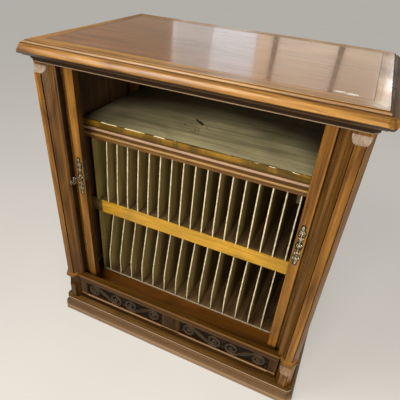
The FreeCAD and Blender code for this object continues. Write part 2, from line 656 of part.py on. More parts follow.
# ---- build ----------------------------------------------------------------------------
def main():
    os.makedirs(OUT, exist_ok=True)

    front, left, right = plinth()
    save("plinth_front", front)
    save("plinth_left", left)
    save("plinth_right", right)

    post = front_post()
    save_pair("base_block", base_block())
    save_pair("base_cap", base_cap().cut(post))
    save_pair("front_post", post)

    save("frieze_top_rail", frieze_top_rail())
    save("frieze_frame", frieze_frame())
    panel, scrolls = frieze_panel()
    save_pair("frieze_panel", fuse(panel, *scrolls))

    bed = bed_moulding()
    save("top_frame", top_frame())
    save("top_panel", top_panel())
    save("bed_moulding", bed)
    save("track_board", track_board(bed))
    save("bottom_board", bottom_board())

    field = side_panel()
    save_pair("side_panel", field)
    save_pair("side_frame", side_frame(field))
    save("back_panel", back_panel())

    save_pair("tambour_slats", tambour_slats())
    save_pair("tambour_tapes", tambour_tapes())
    stile = door_stile()
    strike = strike_plate()
    save("right_door_stile", stile.cut([strike, strike_zone()]))
    save("strike_plate", strike)
    x0, x1, y0, y1, z0, z1 = CASE
    mortise = box(x0, x1 + 1, y0, y1, z0, z1)
    hole = keyhole(STILE_Y0 - 1, y0 + 1, SHANK_R + 0.6, 2.8, BIT_R + 0.6)
    save("left_door_stile", mirrored(stile).cut([mortise, hole]))
    save("right_finger_plate", finger_plate(PLATE_X))
    save("left_finger_plate", finger_plate(-PLATE_X).cut(
        keyhole(STILE_Y0 - PLATE_T - 1, STILE_Y0 + 1, SHANK_R + 0.6, 2.8, BIT_R + 0.6)))
    save("lock_case", lock_case())
    save("lock_bolt", lock_bolt())
    save("key", key())

    rail = box(-SHELF_HALF, SHELF_HALF, RACK_FRONT + 3, RACK_FRONT + 12, MID_UNDER, MID_TOP)
    moulding = shelf_moulding()
    save("upper_shelf", upper_shelf())
    save("shelf_moulding", moulding)
    save("middle_shelf", box(-RACK_HALF, RACK_HALF, RACK_FRONT + 12, RACK_BACK,
                             MID_BOARD, MID_TOP))
    save("middle_shelf_rail", rail)
    save("middle_shelf_lipping", box(-LIP_HALF, LIP_HALF, RACK_FRONT, RACK_FRONT + 3,
                                     MID_UNDER, MID_TOP))
    save("rack_base", box(-RACK_HALF - BOARD_T, RACK_HALF + BOARD_T, RACK_FRONT,
                          RACK_BACK + BOARD_T, FLOOR_TOP, LOW_FLOOR))
    save_pair("rack_side", rack_side(rail, moulding))
    save("rack_back", box(-RACK_HALF, RACK_HALF, RACK_BACK, RACK_BACK + BOARD_T,
                          LOW_FLOOR, UP_BOARD))
    for i in range(LOW_COUNT):
        place = (i - LOW_COUNT // 2) * LOW_PITCH + LOW_SHIFT
        save(f"lower_divider_{i + 1:02d}", lower_divider(place))
    save("upper_dividers", Part.Compound([upper_divider((i - UP_COUNT // 2) * UP_PITCH)
                                          for i in range(UP_COUNT)]))


main()
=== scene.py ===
"""Record cabinet with rolling tambour doors: finishes, carving, metalwork and studio."""

import math
from functools import reduce

import bmesh
import bpy
import numpy as np
from mathutils import Matrix, Vector


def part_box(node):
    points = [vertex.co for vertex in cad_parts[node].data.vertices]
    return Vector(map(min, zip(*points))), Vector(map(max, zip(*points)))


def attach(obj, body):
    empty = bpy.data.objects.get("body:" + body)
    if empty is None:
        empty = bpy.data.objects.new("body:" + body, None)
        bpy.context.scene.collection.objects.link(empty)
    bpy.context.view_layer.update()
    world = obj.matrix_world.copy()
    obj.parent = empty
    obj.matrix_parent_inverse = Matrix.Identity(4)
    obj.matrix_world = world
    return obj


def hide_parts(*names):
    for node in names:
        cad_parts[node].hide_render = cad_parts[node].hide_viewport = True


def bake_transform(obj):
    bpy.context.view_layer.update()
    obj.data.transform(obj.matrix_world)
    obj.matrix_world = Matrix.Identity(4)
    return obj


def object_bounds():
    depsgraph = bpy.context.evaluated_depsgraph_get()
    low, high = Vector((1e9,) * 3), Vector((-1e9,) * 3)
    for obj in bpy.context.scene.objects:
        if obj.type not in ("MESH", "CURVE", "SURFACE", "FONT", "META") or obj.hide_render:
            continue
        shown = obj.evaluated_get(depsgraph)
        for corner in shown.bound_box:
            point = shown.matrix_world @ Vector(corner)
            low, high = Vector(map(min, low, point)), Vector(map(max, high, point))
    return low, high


bl_info = {
    "name": "Record cabinet",
    "version": (1, 0, 0),
    "blender": (4, 5, 0),
    "location": "3D View > Sidebar > Cabinet",
    "description": "Dresses a record cabinet: woods, carving, metalwork, tambours and "
                   "a plain studio",
    "category": "Object",
}

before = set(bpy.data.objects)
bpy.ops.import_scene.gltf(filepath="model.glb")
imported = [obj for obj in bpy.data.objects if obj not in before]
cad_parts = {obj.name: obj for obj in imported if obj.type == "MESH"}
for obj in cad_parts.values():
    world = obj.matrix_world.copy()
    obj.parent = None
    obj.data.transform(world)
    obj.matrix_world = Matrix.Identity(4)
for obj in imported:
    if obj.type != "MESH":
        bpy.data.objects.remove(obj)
CAD_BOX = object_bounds()
MM = 0.001
CLOSED = 0.3667  # how far each door runs


def linear(code):
    """Linear colour, with alpha, from a web colour."""
    parts = [int(code[i:i + 2], 16) / 255 for i in (1, 3, 5)]
    return [p / 12.92 if p <= 0.04045 else ((p + 0.055) / 1.055) ** 2.4 for p in parts] + [1.0]


# ---- settings ----
def colour(label, words, code):
    return bpy.props.FloatVectorProperty(name=label, description=words, subtype="COLOR", size=4,
                                         min=0, max=1, default=linear(code))


def length(label, words, default):
    return bpy.props.FloatProperty(name=label, description=words, default=default, min=0,
                                   unit="LENGTH", precision=4)


def share(label, words, default):
    return bpy.props.FloatProperty(name=label, description=words, default=default, min=0, max=1,
                                   subtype="FACTOR")


class CabinetFinish(bpy.types.PropertyGroup):
    """Colours and polish of the cabinet's woods and metals."""
    walnut_light: colour("Walnut light", "Bright streaks of the case wood", "#A0702E")
    walnut_mid: colour("Walnut", "Main tone of the case wood", "#754D1B")
    walnut_dark: colour("Walnut dark", "Dark streaks and pores of the case wood", "#41240A")
    # pale edge colour: partly rubbed wood, partly a painted highlight on convex edges
    worn: colour("Worn edge", "Edges rubbed pale by hands and dust cloths", "#CFA06A")
    field: colour("Top field", "Veneer of the top's field", "#73451F")
    shelf: colour("Shelf", "Worn, greenish face of the upper shelf", "#9A9270")
    pine: colour("Pine lipping", "Yellow lipping of the shelves", "#BC8E2C")
    inside: colour("Inner boards", "Stained boards inside the case", "#4A3420")
    divider: colour("Divider", "Face of the record dividers", "#8C7843")
    divider_edge: colour("Divider edge", "Pale front edge of the dividers", "#DDD0AC")
    bronze: colour("Bronze", "Patina of the finger plates", "#3A382A")
    # bright high points: partly rubbed metal, partly painted glints
    rubbed_metal_and_glint: colour("Rubbed metal", "Bright high points of plates and key", "#EADFB8")
    polish: share("Polish", "Roughness of the polished case wood", 0.30)
    top_polish: share("Top polish", "Roughness of the top", 0.09)
    # how far the pale edges reach: partly wear, partly painted highlight
    wear_and_highlight: share("Wear", "How far edges are rubbed", 0.5)
    # how dark the painted shade in the corners is
    corner_shade: share("Dirt", "How dark the corners are", 0.8)


class CabinetSizes(bpy.types.PropertyGroup):
    """Sizes of the carving, the metalwork and the tambour slats."""
    carving_height: length("Carving height", "How far the scrolls stand off their ground", 0.0075)
    carving_step: length("Carving step", "Distance between two points of the carved face", 0.0008)
    slat_pitch: length("Slat pitch", "Distance from one tambour slat to the next", 0.024)
    slat_gap: length("Slat gap", "Gap between two tambour slats", 0.0008)
    plate_relief: length("Plate relief", "Height of the finger plates' casting", 0.0030)
    view_angle: bpy.props.FloatProperty(name="View angle", description="Camera's horizontal angle",
                                        subtype="ANGLE", default=math.radians(55.32))


# ---- node trees ----
class Finish:
    """A material under construction, with short calls for its nodes."""

    def __init__(self, name):
        self.material = bpy.data.materials.new(name)
        self.material.use_nodes = True
        self.tree = self.material.node_tree
        self.tree.nodes.clear()
        self.shader = self.add("ShaderNodeBsdfPrincipled")
        out = self.add("ShaderNodeOutputMaterial")
        self.tree.links.new(self.shader.outputs[0], out.inputs["Surface"])
        self.place = self.add("ShaderNodeTexCoord").outputs["Object"]

    def put(self, socket, value):
        if isinstance(value, bpy.types.NodeSocket):
            self.tree.links.new(value, socket)
        elif value is not None:
            socket.default_value = linear(value) if isinstance(value, str) else value

    def add(self, kind, settings=None, **inputs):
        node = self.tree.nodes.new(kind)
        for key, value in (settings or {}).items():
            setattr(node, key, value)
        for key, value in inputs.items():
            self.put(node.inputs[key.replace("_", " ")], value)
        return node

    def math(self, operation, a, b=None, clamp=False):
        node = self.add("ShaderNodeMath", {"operation": operation, "use_clamp": clamp})
        self.put(node.inputs[0], a)
        if b is not None:
            self.put(node.inputs[1], b)
        return node.outputs[0]

    def mix(self, amount, a, b, blend="MIX"):
        node = self.add("ShaderNodeMix", {"data_type": "RGBA", "blend_type": blend,
                                          "clamp_factor": True})
        self.put(node.inputs[0], amount)
        self.put(node.inputs[6], a)
        self.put(node.inputs[7], b)
        return node.outputs[2]

    def ramp(self, amount, *stops):
        node = self.add("ShaderNodeValToRGB")
        self.put(node.inputs[0], amount)
        band = node.color_ramp.elements
        while len(band) < len(stops):
            band.new(0.5)
        for item, (place, value) in zip(band, stops):
            item.position = place
            if isinstance(value, (int, float)):
                value = (value, value, value, 1)
            item.color = linear(value) if isinstance(value, str) else value
        return node.outputs[0]

    def scaled(self, scale, offset=(0, 0, 0), source=None, turn=(0, 0, 0)):
        node = self.add("ShaderNodeMapping", Scale=scale, Location=offset, Rotation=turn)
        self.put(node.inputs["Vector"], source or self.place)
        return node.outputs[0]

    def times(self, a, b, clamp=False):
        return self.math("MULTIPLY", a, b, clamp)

    def plus(self, a, b):
        return self.math("ADD", a, b)

    def minus(self, a, b):
        return self.math("SUBTRACT", a, b)

    def larger(self, a, b):
        return self.math("MAXIMUM", a, b)

    def under(self, a, b):
        """1 where a is less than b."""
        return self.math("LESS_THAN", a, b)

    def over(self, a, b):
        """1 where a is more than b."""
        return self.math("GREATER_THAN", a, b)

    def off(self, name):
        """Distance from the middle plane across an axis."""
        return self.math("ABSOLUTE", self.axis(name))

    def noise(self, where, scale, detail=4.0, rough=0.5, bend=0.0):
        node = self.add("ShaderNodeTexNoise", Vector=where, Scale=scale, Detail=detail,
                        Roughness=rough, Distortion=bend)
        return node.outputs["Fac"]

    def axis(self, name, source=None):
        node = self.add("ShaderNodeSeparateXYZ")
        self.put(node.inputs[0], source or self.place)
        return node.outputs["XYZ".index(name)]

    def facing(self, name):
        """How far the surface faces along +axis: 0 away, 0.5 square to it, 1 towards it."""
        geometry = self.add("ShaderNodeNewGeometry")
        part = self.axis(name, geometry.outputs["Normal"])
        return self.times(self.plus(part, 1.0), 0.5)

    def between(self, value, low, high, soft=0.0002):
        """1 where a value lies between two bounds."""
        above = self.times(self.minus(value, low), 1 / soft, True)
        below = self.times(self.minus(high, value), 1 / soft, True)
        return self.times(above, below)

    def spot(self, centre, size, ragged, limit, source=None):
        """1 within an oval in plan; ragged breaks its outline."""
        scale = [1 / size[0], 1 / size[1], 0]
        shift = [-centre[0] / size[0], -centre[1] / size[1], 0]
        away = self.add("ShaderNodeVectorMath", {"operation": "LENGTH"})
        self.put(away.inputs[0], self.scaled(scale, shift, source))
        return self.under(self.plus(away.outputs["Value"], ragged), limit)

    def hollow(self, reach, inside=False):
        """0 in the open, near 1 in a corner; with inside it finds outer edges."""
        settings = {"samples": 5, "inside": inside, "only_local": inside}
        node = self.add("ShaderNodeAmbientOcclusion", settings, Distance=reach)
        return self.minus(1.0, node.outputs["AO"])

    def tones(self, amount, code, *stops):
        """Ramp between darker and lighter tones of one colour."""
        return self.ramp(amount, *((place, tinted(code, part)) for place, part in stops))

    def shade(self, base, amount, by, *stops):
        """Darkens or lightens a colour by a ramp."""
        return self.mix(amount, base, self.ramp(by, *stops), "MULTIPLY")

    def shade_corners(self, base, amount, code, *reaches):
        """Painted shade in the corners; each reach is (distance, start, end)."""
        for near, start, end in reaches:
            corner = self.ramp(self.hollow(near), (start, 0.0), (end, 1.0))
            base = self.mix(self.times(corner, amount), base, code)
        return base

    def bump(self, height, strength, depth, before=None):
        node = self.add("ShaderNodeBump", Strength=strength, Distance=depth, Height=height)
        if before is not None:
            self.put(node.inputs["Normal"], before)
        return node.outputs["Normal"]

    def done(self, base, rough, normal=None, metal=0.0, coat=0.0, coat_rough=0.1, shine=0.5):
        self.put(self.shader.inputs["Base Color"], base)
        self.put(self.shader.inputs["Roughness"], rough)
        if normal is not None:
            self.put(self.shader.inputs["Normal"], normal)
        self.shader.inputs["Metallic"].default_value = metal
        self.shader.inputs["Specular IOR Level"].default_value = shine
        self.shader.inputs["Coat Weight"].default_value = coat
        self.shader.inputs["Coat Roughness"].default_value = coat_rough
        return self.material


def tinted(code, strength):
    """A colour made darker or brighter, by one figure or by one for each of its parts."""
    parts = strength if isinstance(strength, tuple) else (strength,) * 3
    code = linear(code) if isinstance(code, str) else code
    return [min(1.0, c * s) for c, s in zip(tuple(code)[:3], parts)] + [1.0]


def figure(f, along, seed=0.0):
    """Straight-grained wood, fibres along one axis: (tone, fine fibre, pores)."""
    seeded = f.add("ShaderNodeObjectInfo").outputs["Random"]
    shift = f.add("ShaderNodeCombineXYZ")
    for i in range(3):
        f.put(shift.inputs[i], f.times(seeded, 7.3 + 4.1 * i + seed))
    moved = f.add("ShaderNodeVectorMath", {"operation": "ADD"})
    f.put(moved.inputs[0], f.place)
    f.put(moved.inputs[1], shift.outputs[0])

    def stretched(lengthwise, across):
        return f.scaled([lengthwise if a == along else across for a in "XYZ"],
                        source=moved.outputs[0])
    streak = f.noise(stretched(1.5, 42.0), 1.0, 5.0, 0.62, 0.3)
    fine = f.noise(stretched(5.0, 210.0), 1.0, 3.0, 0.6)
    cloud = f.noise(stretched(1.2, 6.0), 1.0, 2.0, 0.5)
    wander = f.noise(stretched(0.7, 5.0), 1.0, 2.0, 0.5, 0.3)
    rings = f.math("ABSOLUTE", f.math("SINE", f.times(wander, 42.0)))
    pores = f.noise(stretched(30.0, 1000.0), 1.0, 2.0, 0.5)
    tone = f.times(streak, 0.46)
    for part, weight in ((fine, 0.26), (cloud, 0.18), (rings, 0.07)):
        tone = f.plus(tone, f.times(part, weight))
    return tone, fine, pores


def walnut(name, along, finish, polish=None, light=1.0, coat=0.05, wear_and_highlight=None, inner=None,
           reach=0.004, second=None, shine=0.22, scoops=(), lines=()):
    """Polished walnut with figure, pores, pale edges that are partly rubbed and partly a painted
    highlight, and painted shade in corners and on undersides. inner gives the share of near
    black in grooves and on faces out of sight: painted shade on the posts and stiles.
    second is (axis, share, joint) for frames: where share is 1 the grain follows that
    axis instead, and joint is 1 on the dark line where the two pieces meet.
    scoops are heights between which a hollow cut across the grain is painted pale grey,
    partly worn end grain and partly a painted reflection. lines are (low, high, colour, share)
    for the members of a moulding painted darker or paler: mostly painted shade and painted
    highlights."""
    f = Finish(name)
    tone, fine, pores = figure(f, along)
    joint = None
    if second is not None:
        axis, where, joint = second[0], *second[1](f)
        other = figure(f, axis, 3.0)
        tone, fine, pores = (f.mix(where, a, b) for a, b in zip((tone, fine, pores), other))
    dark, mid, bright = (tinted(getattr(finish, "walnut_" + k), light)
                         for k in ("dark", "mid", "light"))
    base = f.ramp(tone, (0.365, dark), (0.485, mid), (0.625, bright))
    base = f.shade(base, 0.5, pores, (0.34, 0.45), (0.46, 1.0))
    base = f.shade(base, 0.8, f.noise(f.place, 3.5, 3.0), (0.36, 0.92), (0.62, 1.06))
    # pale convex edges: partly rubbed wear, partly a painted highlight
    edge = f.hollow(reach, True)
    rub_and_highlight = f.times(f.ramp(edge, (0.42, 0.0), (0.78, 1.0)),
                  f.ramp(f.noise(f.place, 26.0, 4.0, 0.6), (0.38, 0.25), (0.62, 1.0)))
    base = f.mix(f.times(rub_and_highlight, (finish.wear_and_highlight if wear_and_highlight is None else wear_and_highlight)), base,
                 tinted(finish.worn, light))
    # painted shade in corners and creases; the same dark colour also marks the frames' joints
    grime_and_shade = "#140A04"
    base = f.shade_corners(base, finish.corner_shade, grime_and_shade, (0.006, 0.45, 0.85), (0.035, 0.35, 0.95))
    # painted shade on faces that look down
    base = f.mix(f.ramp(f.facing("Z"), (0.28, 0.86), (0.47, 0.0)), base, grime_and_shade)
    if joint is not None:
        base = f.mix(joint, base, grime_and_shade)
    # near black by inner: painted shade in the posts' grooves and on the stiles' closing edges;
    # the side walls' inner faces are made near black too
    if inner is not None:
        base = f.mix(inner(f), base, "#0A0603")
    if scoops:
        # pale grey in the scoops: partly worn end grain, partly a painted reflection
        base = f.mix(scoop_wear_and_reflection(f, scoops), base, f.ramp(fine, (0.38, "#82705F"), (0.62, "#9C8A78")))
    # bands painted on the members of mouldings, mostly painted shade and painted highlights
    for low, high, code, part in lines:
        streaky = f.times(f.between(f.axis("Z"), low, high, 0.0004),
                          f.ramp(tone, (0.36, part * 0.75), (0.6, part)))
        base = f.mix(streaky, base, code)
    gloss = polish or finish.polish
    rough = f.ramp(f.noise(f.place, 9.0, 3.0), (0.3, gloss * 0.8), (0.7, min(1.0, gloss * 1.35)))
    normal = f.bump(pores, 0.12, 0.0004, f.bump(fine, 0.12, 0.0006))
    return f.done(base, rough, normal, coat=coat, coat_rough=0.14, shine=shine)


# ---- mesh helpers ----
def make(name, verts, faces, finish=None, smooth=True, body=None, slot=None):
    mesh = bpy.data.meshes.new(name)
    mesh.from_pydata([tuple(v) for v in verts], [], [tuple(f) for f in faces])
    mesh.validate()
    mesh.polygons.foreach_set("use_smooth", [smooth] * len(mesh.polygons))
    piece = bpy.data.objects.new(name, mesh)
    bpy.context.scene.collection.objects.link(piece)
    if finish is not None:
        mesh.materials.append(finish)
    if body:
        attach(piece, body)
    return piece


def paint(nodes, finish):
    """Gives each CAD node one finish in all its material slots."""
    for name in nodes:
        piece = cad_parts[name]
        for holder in piece.material_slots:
            holder.material = finish


def bar(verts, faces, section, lo, hi, place):
    """Adds a prism: section points pushed from lo to hi, placed by place(a, b, t)."""
    first, n = len(verts), len(section)
    for t in (lo, hi):
        verts.extend(place(a, b, t) for a, b in section)
    faces.append([first + i for i in range(n)][::-1])
    faces.append([first + n + i for i in range(n)])
    faces.extend([first + i, first + (i + 1) % n, first + n + (i + 1) % n, first + n + i]
                 for i in range(n))


class Relief:
    """Height map of a carved or cast face; a later form joins the ones before it."""

    def __init__(self, x0, x1, z0, z1, step):
        self.nx = int(round((x1 - x0) / step)) + 1
        self.nz = int(round((z1 - z0) / step)) + 1
        self.x, self.z = np.meshgrid(np.linspace(x0, x1, self.nx), np.linspace(z0, z1, self.nz))
        self.h = np.zeros_like(self.x)

    def raise_to(self, height):
        self.h = np.maximum(self.h, height)

    def band(self, points, widths, height, reeds=2):
        """Rounded fillet along a line, with grooves between its reeds."""
        pts, wid = np.asarray(points, float), np.asarray(widths, float)
        best = np.full(self.h.shape, 9.0)
        for (a, b), w0, w1 in zip(zip(pts[:-1], pts[1:]), wid[:-1], wid[1:]):
            reach = max(w0, w1) + 0.5
            lo, hi = np.minimum(a, b) - reach, np.maximum(a, b) + reach
            cols = np.nonzero((self.x[0] >= lo[0]) & (self.x[0] <= hi[0]))[0]
            rows = np.nonzero((self.z[:, 0] >= lo[1]) & (self.z[:, 0] <= hi[1]))[0]
            if not len(cols) or not len(rows):
                continue
            cut = np.s_[rows[0]:rows[-1] + 1, cols[0]:cols[-1] + 1]
            d = b - a
            s = np.clip(((self.x[cut] - a[0]) * d[0] + (self.z[cut] - a[1]) * d[1])
                        / max(d @ d, 1e-9), 0, 1)
            away = np.hypot(self.x[cut] - a[0] - s * d[0], self.z[cut] - a[1] - s * d[1])
            best[cut] = np.minimum(best[cut], away / (w0 + (w1 - w0) * s))
        inside = best < 1
        if reeds == 1:
            shape = np.sqrt(np.clip(1 - best ** 2, 0, 1))
        elif reeds == 2:
            shape = 0.25 + 0.75 * np.sqrt(np.clip(1 - (2 * best - 1) ** 2, 0, 1))
        else:
            shape = 0.25 + 0.75 * np.abs(np.cos(best * math.pi * 1.5))
        edge = np.clip((1 - best) * 4, 0, 1)
        self.raise_to(np.where(inside, height * shape * edge, 0))

    def boss(self, cx, cz, radius, height):
        d = np.hypot(self.x - cx, self.z - cz) / radius
        self.raise_to(np.where(d < 1, height * np.sqrt(np.clip(1 - d ** 2, 0, 1)), 0))

    def leaf(self, cx, cz, angle, long, wide, height, lobes=4):
        """Leaf with a sunk midrib and lobed edge, pointing along angle from its root."""
        c, s = math.cos(angle), math.sin(angle)
        a = ((self.x - cx) * c + (self.z - cz) * s) / long
        b = (-(self.x - cx) * s + (self.z - cz) * c) / wide
        b = b - 0.25 * np.sin(np.clip(a, 0, 1) * math.pi)
        half = np.sin(math.pi * np.clip(a, 0, 1) ** 0.72) * (1 - 0.20
                * np.abs(np.sin(a * math.pi * lobes)))
        ratio = np.abs(b) / np.maximum(half, 1e-3)
        shape = np.sqrt(np.clip(1 - ratio ** 2, 0, 1)) * (0.55 + 0.45 * np.clip(ratio * 2.4, 0, 1))
        veins = 0.9 + 0.1 * np.cos((a * 3 + ratio) * math.pi * lobes)
        self.raise_to(np.where((a > 0) & (a < 1) & (ratio < 1), height * shape * veins, 0))

    def volute(self, cx, cz, radius, start, hand, turns, width, height, eye=4.0, reeds=2):
        """Spiral from its outer end inwards to an eye; angles in degrees."""
        count = int(44 * turns)
        t = np.linspace(0, 1, count)
        angle = math.radians(start) + hand * t * turns * 2 * math.pi
        r = radius * (1 - t) ** 0.85 + eye * t
        points = np.stack([cx + r * np.cos(angle), cz + r * np.sin(angle)], 1)
        widths = width * (1 - 0.50 * t)
        self.band(points, widths, height, reeds)
        self.boss(cx, cz, eye, height * 1.15)

    def soften(self, passes=1):
        for _ in range(passes):
            p = np.pad(self.h, 1, mode="edge")
            self.h = (p[1:-1, 1:-1] * 4 + p[:-2, 1:-1] + p[2:, 1:-1] + p[1:-1, :-2]
                      + p[1:-1, 2:]) / 8

    def mesh(self, name, ground, back, mask=None, **kinds):
        """Carved face in front of ground, with square edges running back to the plane back, which
        is left open (all Y, mm).
        """
        verts = np.stack([self.x, ground - self.h, self.z], 2).reshape(-1, 3) * MM
        grid = np.arange(self.nx * self.nz).reshape(self.nz, self.nx)
        quads = np.stack([grid[:-1, :-1], grid[:-1, 1:], grid[1:, 1:], grid[1:, :-1]],
                         2).reshape(-1, 4)
        if mask is not None:
            keep = mask.reshape(-1)[quads].all(1)
            quads = quads[keep]
        piece = make(name, verts, quads, **{**kinds, "body": None})
        work = bmesh.new()
        work.from_mesh(piece.data)
        bmesh.ops.delete(work, geom=[v for v in work.verts if not v.link_faces], context="VERTS")
        rim = [e for e in work.edges if e.is_boundary]
        made = bmesh.ops.extrude_edge_only(work, edges=rim)
        for v in made["geom"]:
            if isinstance(v, bmesh.types.BMVert):
                v.co.y = back * MM
        work.to_mesh(piece.data)
        work.free()
        if kinds.get("body"):
            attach(piece, kinds["body"])
        return piece


# ---- case woods ----
POSTS = ("left_front_post", "right_front_post", "left_base_block", "right_base_block")
BAND_Y = -0.3098  # face of the posts' raised band
CHIPS = ((0.377, -0.2340, 0.015, 0.0062), (0.404, -0.2375, 0.018, 0.0072))  # on the top's field
# the scoops are painted pale grey: partly worn end grain, partly a painted reflection
SCOOPS = ((0.1305, 0.1575, 0.45), (1.0135, 1.0345, 1.0))  # hollows that stop that band
# members of the mouldings painted darker or paler, mostly painted shade in grooves and undersides
# and painted highlights on beads: from, to, colour, share
# bed moulding: painted shade under the cornice, below a paler line on its lowest lip
BED_LINES = ((1.0405, 1.0452, "#9A8468", 0.75), (1.0456, 1.0620, "#1A0F08", 0.9))
# cornice: painted shade on its underside and in two grooves, with a pale grey fillet between them
TOP_LINES = ((1.0440, 1.0712, "#24150B", 0.85), (1.0914, 1.0930, "#1E1008", 0.9),
             (1.0936, 1.0968, "#8F7A66", 0.6), (1.0972, 1.0992, "#25150B", 0.85))
# the plinth's reeds are not modelled: their grooves are dark lines of painted shade
REED_FIRST, REED_PITCH, REED_HALF = 0.0275, 0.0048, 0.0011  # fine dark reeds of the plinth
REED_SHADE_LINES = [(z - REED_HALF, z + REED_HALF, "#1A110A", 0.85)
         for z in (REED_FIRST + REED_PITCH * i for i in range(7))]
# shelf moulding: painted highlights on its two beads and painted shade beside them
SHELF_LINES = ((0.7630, 0.7735, "#6B4A26", 0.5), (0.7762, 0.7842, "#B58F5C", 0.75),
               (0.7868, 0.7945, "#472B13", 0.8), (0.7965, 0.8050, "#BD9E85", 0.8),
               (0.8072, 0.8122, "#38230F", 0.8))
# plinth: a painted highlight on the nosing (the palest line) and the reeds' painted shade
PLINTH_LINES = ((0.0015, 0.0240, "#A08468", 0.75), (0.0240, 0.0604, "#86694E", 0.7), *REED_SHADE_LINES,
                (0.0606, 0.0640, "#D8B694", 0.95), (0.0640, 0.0700, "#20140B", 0.5))
# frieze: painted shade on the lower rail, below a paler line on the bead
FRIEZE_LINES = ((0.0925, 0.0992, "#B08C68", 0.6), (0.0700, 0.0890, "#2A1B10", 0.6))
RAIL_LINES = ((0.1660, 0.1690, "#9A7346", 0.7), (0.1945, 0.1985, "#9C6E3C", 0.6))
FIELD_X, FIELD_FRONT, FIELD_BACK = 0.4525, -0.254, 0.282  # veneered field of the top
ARRIS_X, ARRIS_FRONT, LIP = 0.4863, -0.3014, 0.028
OPEN_Y = (-0.196, 0.261)  # between the side frames' stiles
PANEL_X, PANEL_Z0 = (0.039, 0.3915), 0.1006  # between the frieze's muntins
SIDE_X = 0.4635  # inside the side walls
STILE_X = 0.3676  # closing edge of the stiles
# painted shade in the grooves beside the posts' raised band and on their sides away from the
# light: from, to (X), how dark
QUIRKS = ((0.4636, 0.4664, 0.9), (0.4384, 0.4411, 0.9), (0.4228, 0.4262, 0.72),
          (0.0, 0.4112, 0.86), (0.0, 0.4386, 0.42))
SHELF_TOP, STRIP_BACK = 0.8306, -0.1580  # upper shelf: face, yellow strip
# the most that the painted light brightens the upper shelf
SHELF_LIGHT_MOST = 2.1  # most that it has bleached
# stretches of the strip's joint that have flaked: from, to (X), how much
FLAKES = ((-0.357, -0.287, 1.0), (-0.262, -0.178, 1.0), (-0.152, -0.106, 1.15),
          (-0.090, -0.066, 0.9), (0.10, 0.35, 0.82))


def inside_face(f):
    """1 on the faces that look into the cabinet, away from its walls' show sides."""
    return f.under(f.off("X"), SIDE_X)


def scoop_wear_and_reflection(f, heights):
    """1 in the hollows that stop the posts' and blocks' raised bands, painted pale grey: partly
    worn end grain, partly a painted reflection of light from above.
    """
    z, y = f.axis("Z"), f.axis("Y")
    across = f.under(f.math("ABSOLUTE", f.minus(f.facing("X"), 0.5)), 0.06)
    share = f.times(across, f.over(y, BAND_Y + 0.0005))
    spans = [f.times(f.between(z, low, high, 0.001), depth) for low, high, depth in heights]
    found = f.times(share, f.larger(*spans))
    return f.times(found, f.between(y, -1, BAND_Y + 0.0150))


def post_groove_shade(f):
    """Painted shade in the quirks beside the posts' raised band, and on the post's side next to
    the door.
    """
    x, y = f.off("X"), f.axis("Y")
    off_band = f.over(y, BAND_Y + 0.0006)
    shares = [f.times(f.between(x, low, high, 0.0008), depth) for low, high, depth in QUIRKS]
    return f.times(reduce(f.larger, shares), off_band)


def closing_edge_shade(f):
    """Painted shade on the stiles' closing edges, where the two stiles meet."""
    return f.times(f.between(f.off("X"), 0.3, STILE_X), 0.72)


def side_rails(f):
    """Rails between the stiles of a side frame, and their joints."""
    y = f.axis("Y")
    lines = [f.between(y, edge - 0.0005, edge + 0.0005) for edge in OPEN_Y]
    return f.between(y, *OPEN_Y), f.larger(*lines)


def muntins(f):
    """Short uprights of the frieze frame, and their joints with the bottom rail."""
    x = f.off("X")
    upright = f.larger(f.between(x, -1, PANEL_X[0]), f.between(x, PANEL_X[1], 1))
    z = f.axis("Z")
    line = f.times(upright, f.between(z, PANEL_Z0 - 0.0005, PANEL_Z0 + 0.0004))
    return f.times(upright, f.between(z, PANEL_Z0, 1)), line


def mitres(f):
    """Side lengths of the top's border, and the mitres between them and front and back."""
    def across(value, field, arris):
        """0 at the field, 1 at the arris, 2 at the lip."""
        flat = f.times(f.minus(value, field), 1 / (arris - field), True)
        out = f.times(f.minus(value, arris), 1 / LIP, True)
        return f.plus(flat, out)
    x, y = f.off("X"), f.axis("Y")
    side = across(x, FIELD_X, ARRIS_X)
    front = across(f.times(y, -1.0), -FIELD_FRONT, -ARRIS_FRONT)
    back = across(y, FIELD_BACK, CAD_BOX[1][1])
    more = f.minus(side, f.larger(front, back))
    return f.between(more, 0, 9), f.between(more, -0.016, 0.016, 0.004)


